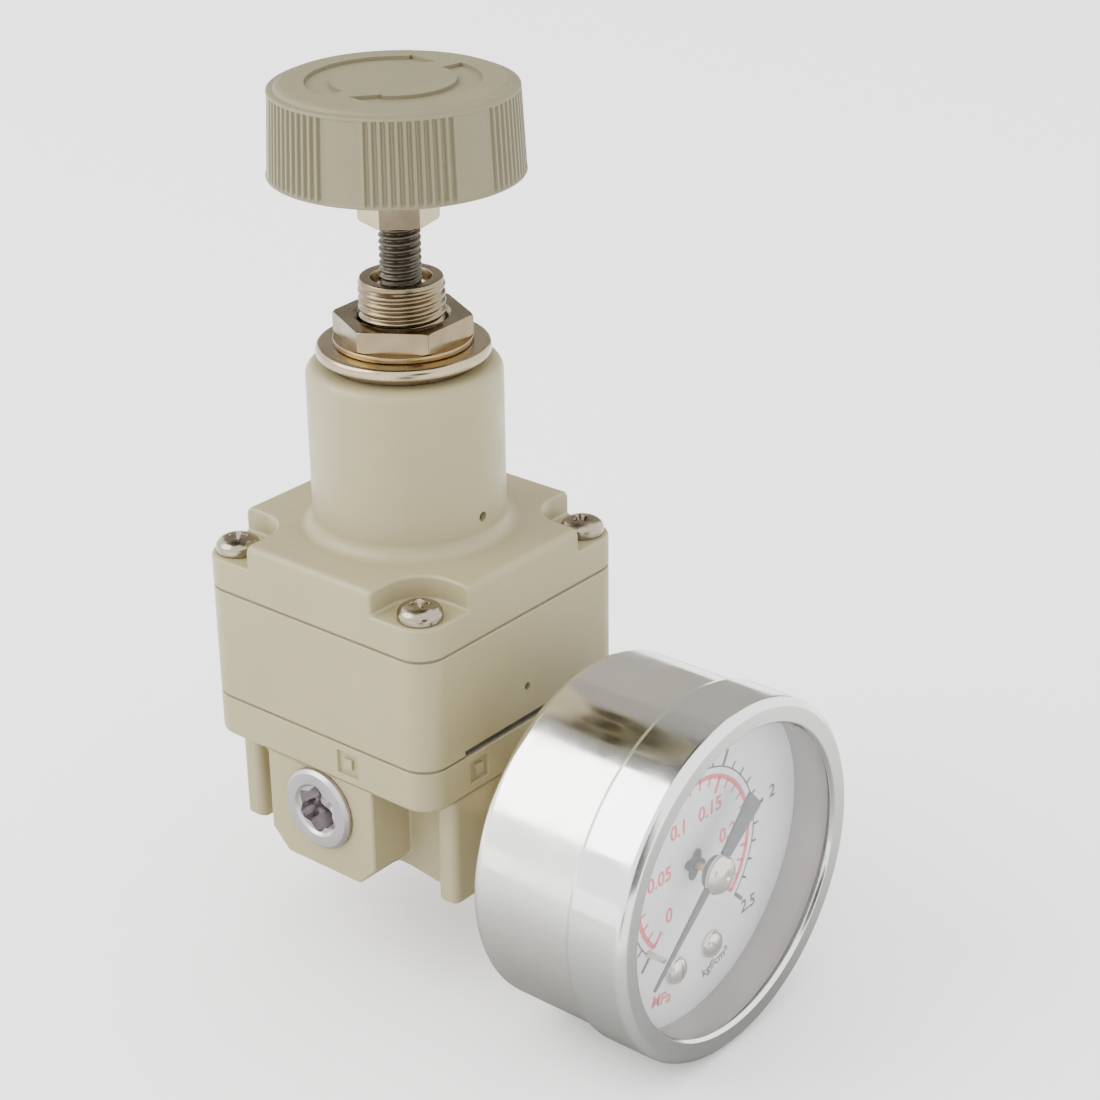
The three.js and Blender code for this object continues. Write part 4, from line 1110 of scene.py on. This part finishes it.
def needle_arbor():
    """The pointer's arbor with its pinion."""
    low, top = gauge_span("needle_arbor")
    pinion, pinion_low, pinion_high = 1.4, 36.4, 37.8
    profile = [
        (0, low, 0), (ARBOR_RADIUS, low, 0.1), (ARBOR_RADIUS, pinion_low, 0), (pinion, pinion_low, 0),
        (pinion, pinion_high, 0), (ARBOR_RADIUS, pinion_high, 0), (ARBOR_RADIUS, top, 0.1), (0, top, 0)]
    return gauge_turned("needle_arbor", profile, 32, sharp=40)


for build in (
        lower_body, middle_body, bonnet, bonnet_sleeve, panel_washer, panel_nut, knob, adjusting_screw,
        lock_nut, cover_screws, port_plug, valve_guide, gauge_connector, gauge_case, gauge_bezel, dial_ring,
        gauge_window, gauge_dial):
    build()
printed_scale(
    "dial_red_scale", RED_INK, base=10.4, arc=(10.1, 10.7), minor=9.2, major=8.4,
    figures=("0", "0.05", "0.1", "0.15", "0.2", "0.25"), size=2.6, figure_at=6.5,
    extra=[("MPa", 2.2, -5.9, -15.2, radians(-14))])
printed_scale(
    "dial_black_scale", BLACK_INK, base=11.5, arc=(11.45, 11.65), minor=12.5, major=13.6,
    figures=("0", "0.5", "1", "1.5", "2", "2.5"), size=2.4, figure_at=15.4,
    extra=[("kgf/cm²", 1.7, 4.4, -15.6, radians(12))])
for build in (dial_shade_lobes, dial_screws, dial_pin, gauge_needle, needle_hub, needle_arbor):
    build()


# ---- floor, light and camera ----

def aim_at(obj, place, aim, axis):
    """Puts an object in place, with one of its axes toward a point."""
    obj.location = place
    obj.rotation_mode = "QUATERNION"
    obj.rotation_quaternion = (Vector(aim) - Vector(place)).to_track_quat(axis, "Y")


def stage_plane(name, size, place, aim, color):
    """A flat card or floor, not part of the object, that faces a point."""
    half = size / 2
    made = mesh_object(name, [(-half, -half, 0), (half, -half, 0), (half, half, 0), (-half, half, 0)],
                       [(0, 1, 2, 3)])
    aim_at(made, place, aim, "Z")
    surface = Surface(name, Base_Color=(*color, 1), Roughness=0.8)
    made.data.materials.append(surface.finish())
    return made


def soft_light(name, place, aim, size, power, tone=(1, 1, 1)):
    lamp = bpy.data.lights.new(name, "AREA")
    lamp.shape = "DISK"
    lamp.size = size
    lamp.energy = power
    lamp.color = tone
    made = new_object(name, lamp)
    aim_at(made, place, aim, "-Z")
    return made


def toward(azimuth, elevation, away):
    """A step from the object: azimuth 0 is its gauge side, and -90 the plugged port's side."""
    turn, rise = radians(azimuth), radians(elevation)
    return Vector((sin(turn) * cos(rise), -cos(turn) * cos(rise), sin(rise))) * away


def reflection_card(name, size, place, aim, inner, outer, start, end):
    """A card that only shows in the metal, as a painted reflection. Its tone goes from inner to outer between
    two radii.
    """
    card = stage_plane(name, size, place, aim, inner)
    surface = Surface(name, Roughness=0.9)
    away = surface.node("ShaderNodeVectorMath", {0: surface.place}, operation="LENGTH").outputs["Value"]
    card.data.materials[0] = surface.finish(surface.tint(away, inner, outer, start, end))
    card.visible_camera = card.visible_diffuse = card.visible_shadow = False
    return card


def studio():
    """A pale floor under the gauge, a bright room, a large soft light, and cards that paint reflections into
    the chrome.
    """
    floor_level = CAD_BOX[0].z - 0.0002
    stage_plane("floor", 8.0, (0, 0, floor_level), (0, 0, 1), (0.95, 0.95, 0.945))
    room = bpy.data.worlds.new("room")
    room.use_nodes = True
    shade = next(n for n in room.node_tree.nodes if n.type == "BACKGROUND")
    shade.inputs["Color"].default_value = (1, 1, 1, 1)
    shade.inputs["Strength"].default_value = 2.6
    bpy.context.scene.world = room
    middle = Vector((0, -0.01, 0.04))
    soft_light("key", middle + toward(-133, 40, 0.9), middle, 0.8, 8.5, (1, 0.995, 0.97))
    # cards seen only in the metal: painted reflections that give the chrome its dark and light bands
    for name, size, place, inner, outer, start, end in (
            ("card_top", 0.46, (165, 70, 0.6), (0.02, 0.02, 0.018), (0.18, 0.172, 0.155), 0.11, 0.2),
            ("card_join", 0.8, (142, 50, 0.95), (0.17, 0.162, 0.147), (0.2, 0.19, 0.17), 0.3, 0.4),
            ("card_tall", 0.3, (-29, 8, 0.5), (0.05, 0.048, 0.045), (0.8, 0.8, 0.79), 0.08, 0.15),
            ("card_right", 1.0, (126, 26, 0.9), (0.2, 0.19, 0.17), (0.2, 0.19, 0.17), 0.4, 0.5)):
        card = reflection_card(name, size, middle + toward(*place), middle, inner, outer, start, end)
        card.scale = (1, 1.7 if name == "card_tall" else 1, 1)
    # painted shade: a dark card on the floor, lighter towards its edge, that only shows in the metal as shade
    # in the nickel pieces round the neck
    front = toward(-45, 0, 0.25)
    front.z = floor_level + 0.0002
    card = reflection_card("card_front_shade", 0.13, front, front + Vector((0, 0, 1)), (0.12, 0.115, 0.11),
                     (0.8, 0.8, 0.79), 0.03, 0.06)
    card.scale = (2.4, 1, 1)
    card.rotation_quaternion = Matrix.Rotation(radians(-135), 3, "Z").to_quaternion()
    # painted shadow: a card on the floor, darkest round the gauge's foot, that only shows in the metal as the
    # floor's shade near the object
    foot = Vector((0, -0.035, floor_level + 0.0001))
    reflection_card("card_foot_shadow", 0.24, foot, foot + Vector((0, 0, 1)), (0.2, 0.2, 0.19), (0.6, 0.6, 0.59),
              0.02, 0.09)


def camera():
    """The camera, by its azimuth, elevation and roll about the object, in the row frame."""
    azimuth, elevation, roll = -50.32, 25.49, radians(-0.737)
    back = toward(azimuth, elevation, 1)
    level = Vector((*polar(1, radians(azimuth)), 0))
    upright = back.cross(level)
    right = level * cos(roll) + upright * sin(roll)
    up = back.cross(right)
    lens = bpy.data.cameras.new("camera")
    lens.lens = 83.08
    lens.sensor_width = 36.0
    lens.clip_start = 0.01
    made = new_object("camera", lens)
    turn = Matrix((right, up, back)).transposed().to_4x4()
    made.matrix_world = Matrix.Translation(Vector((-0.19695, -0.18452, 0.16402))) @ turn
    bpy.context.scene.camera = made


studio()
camera()
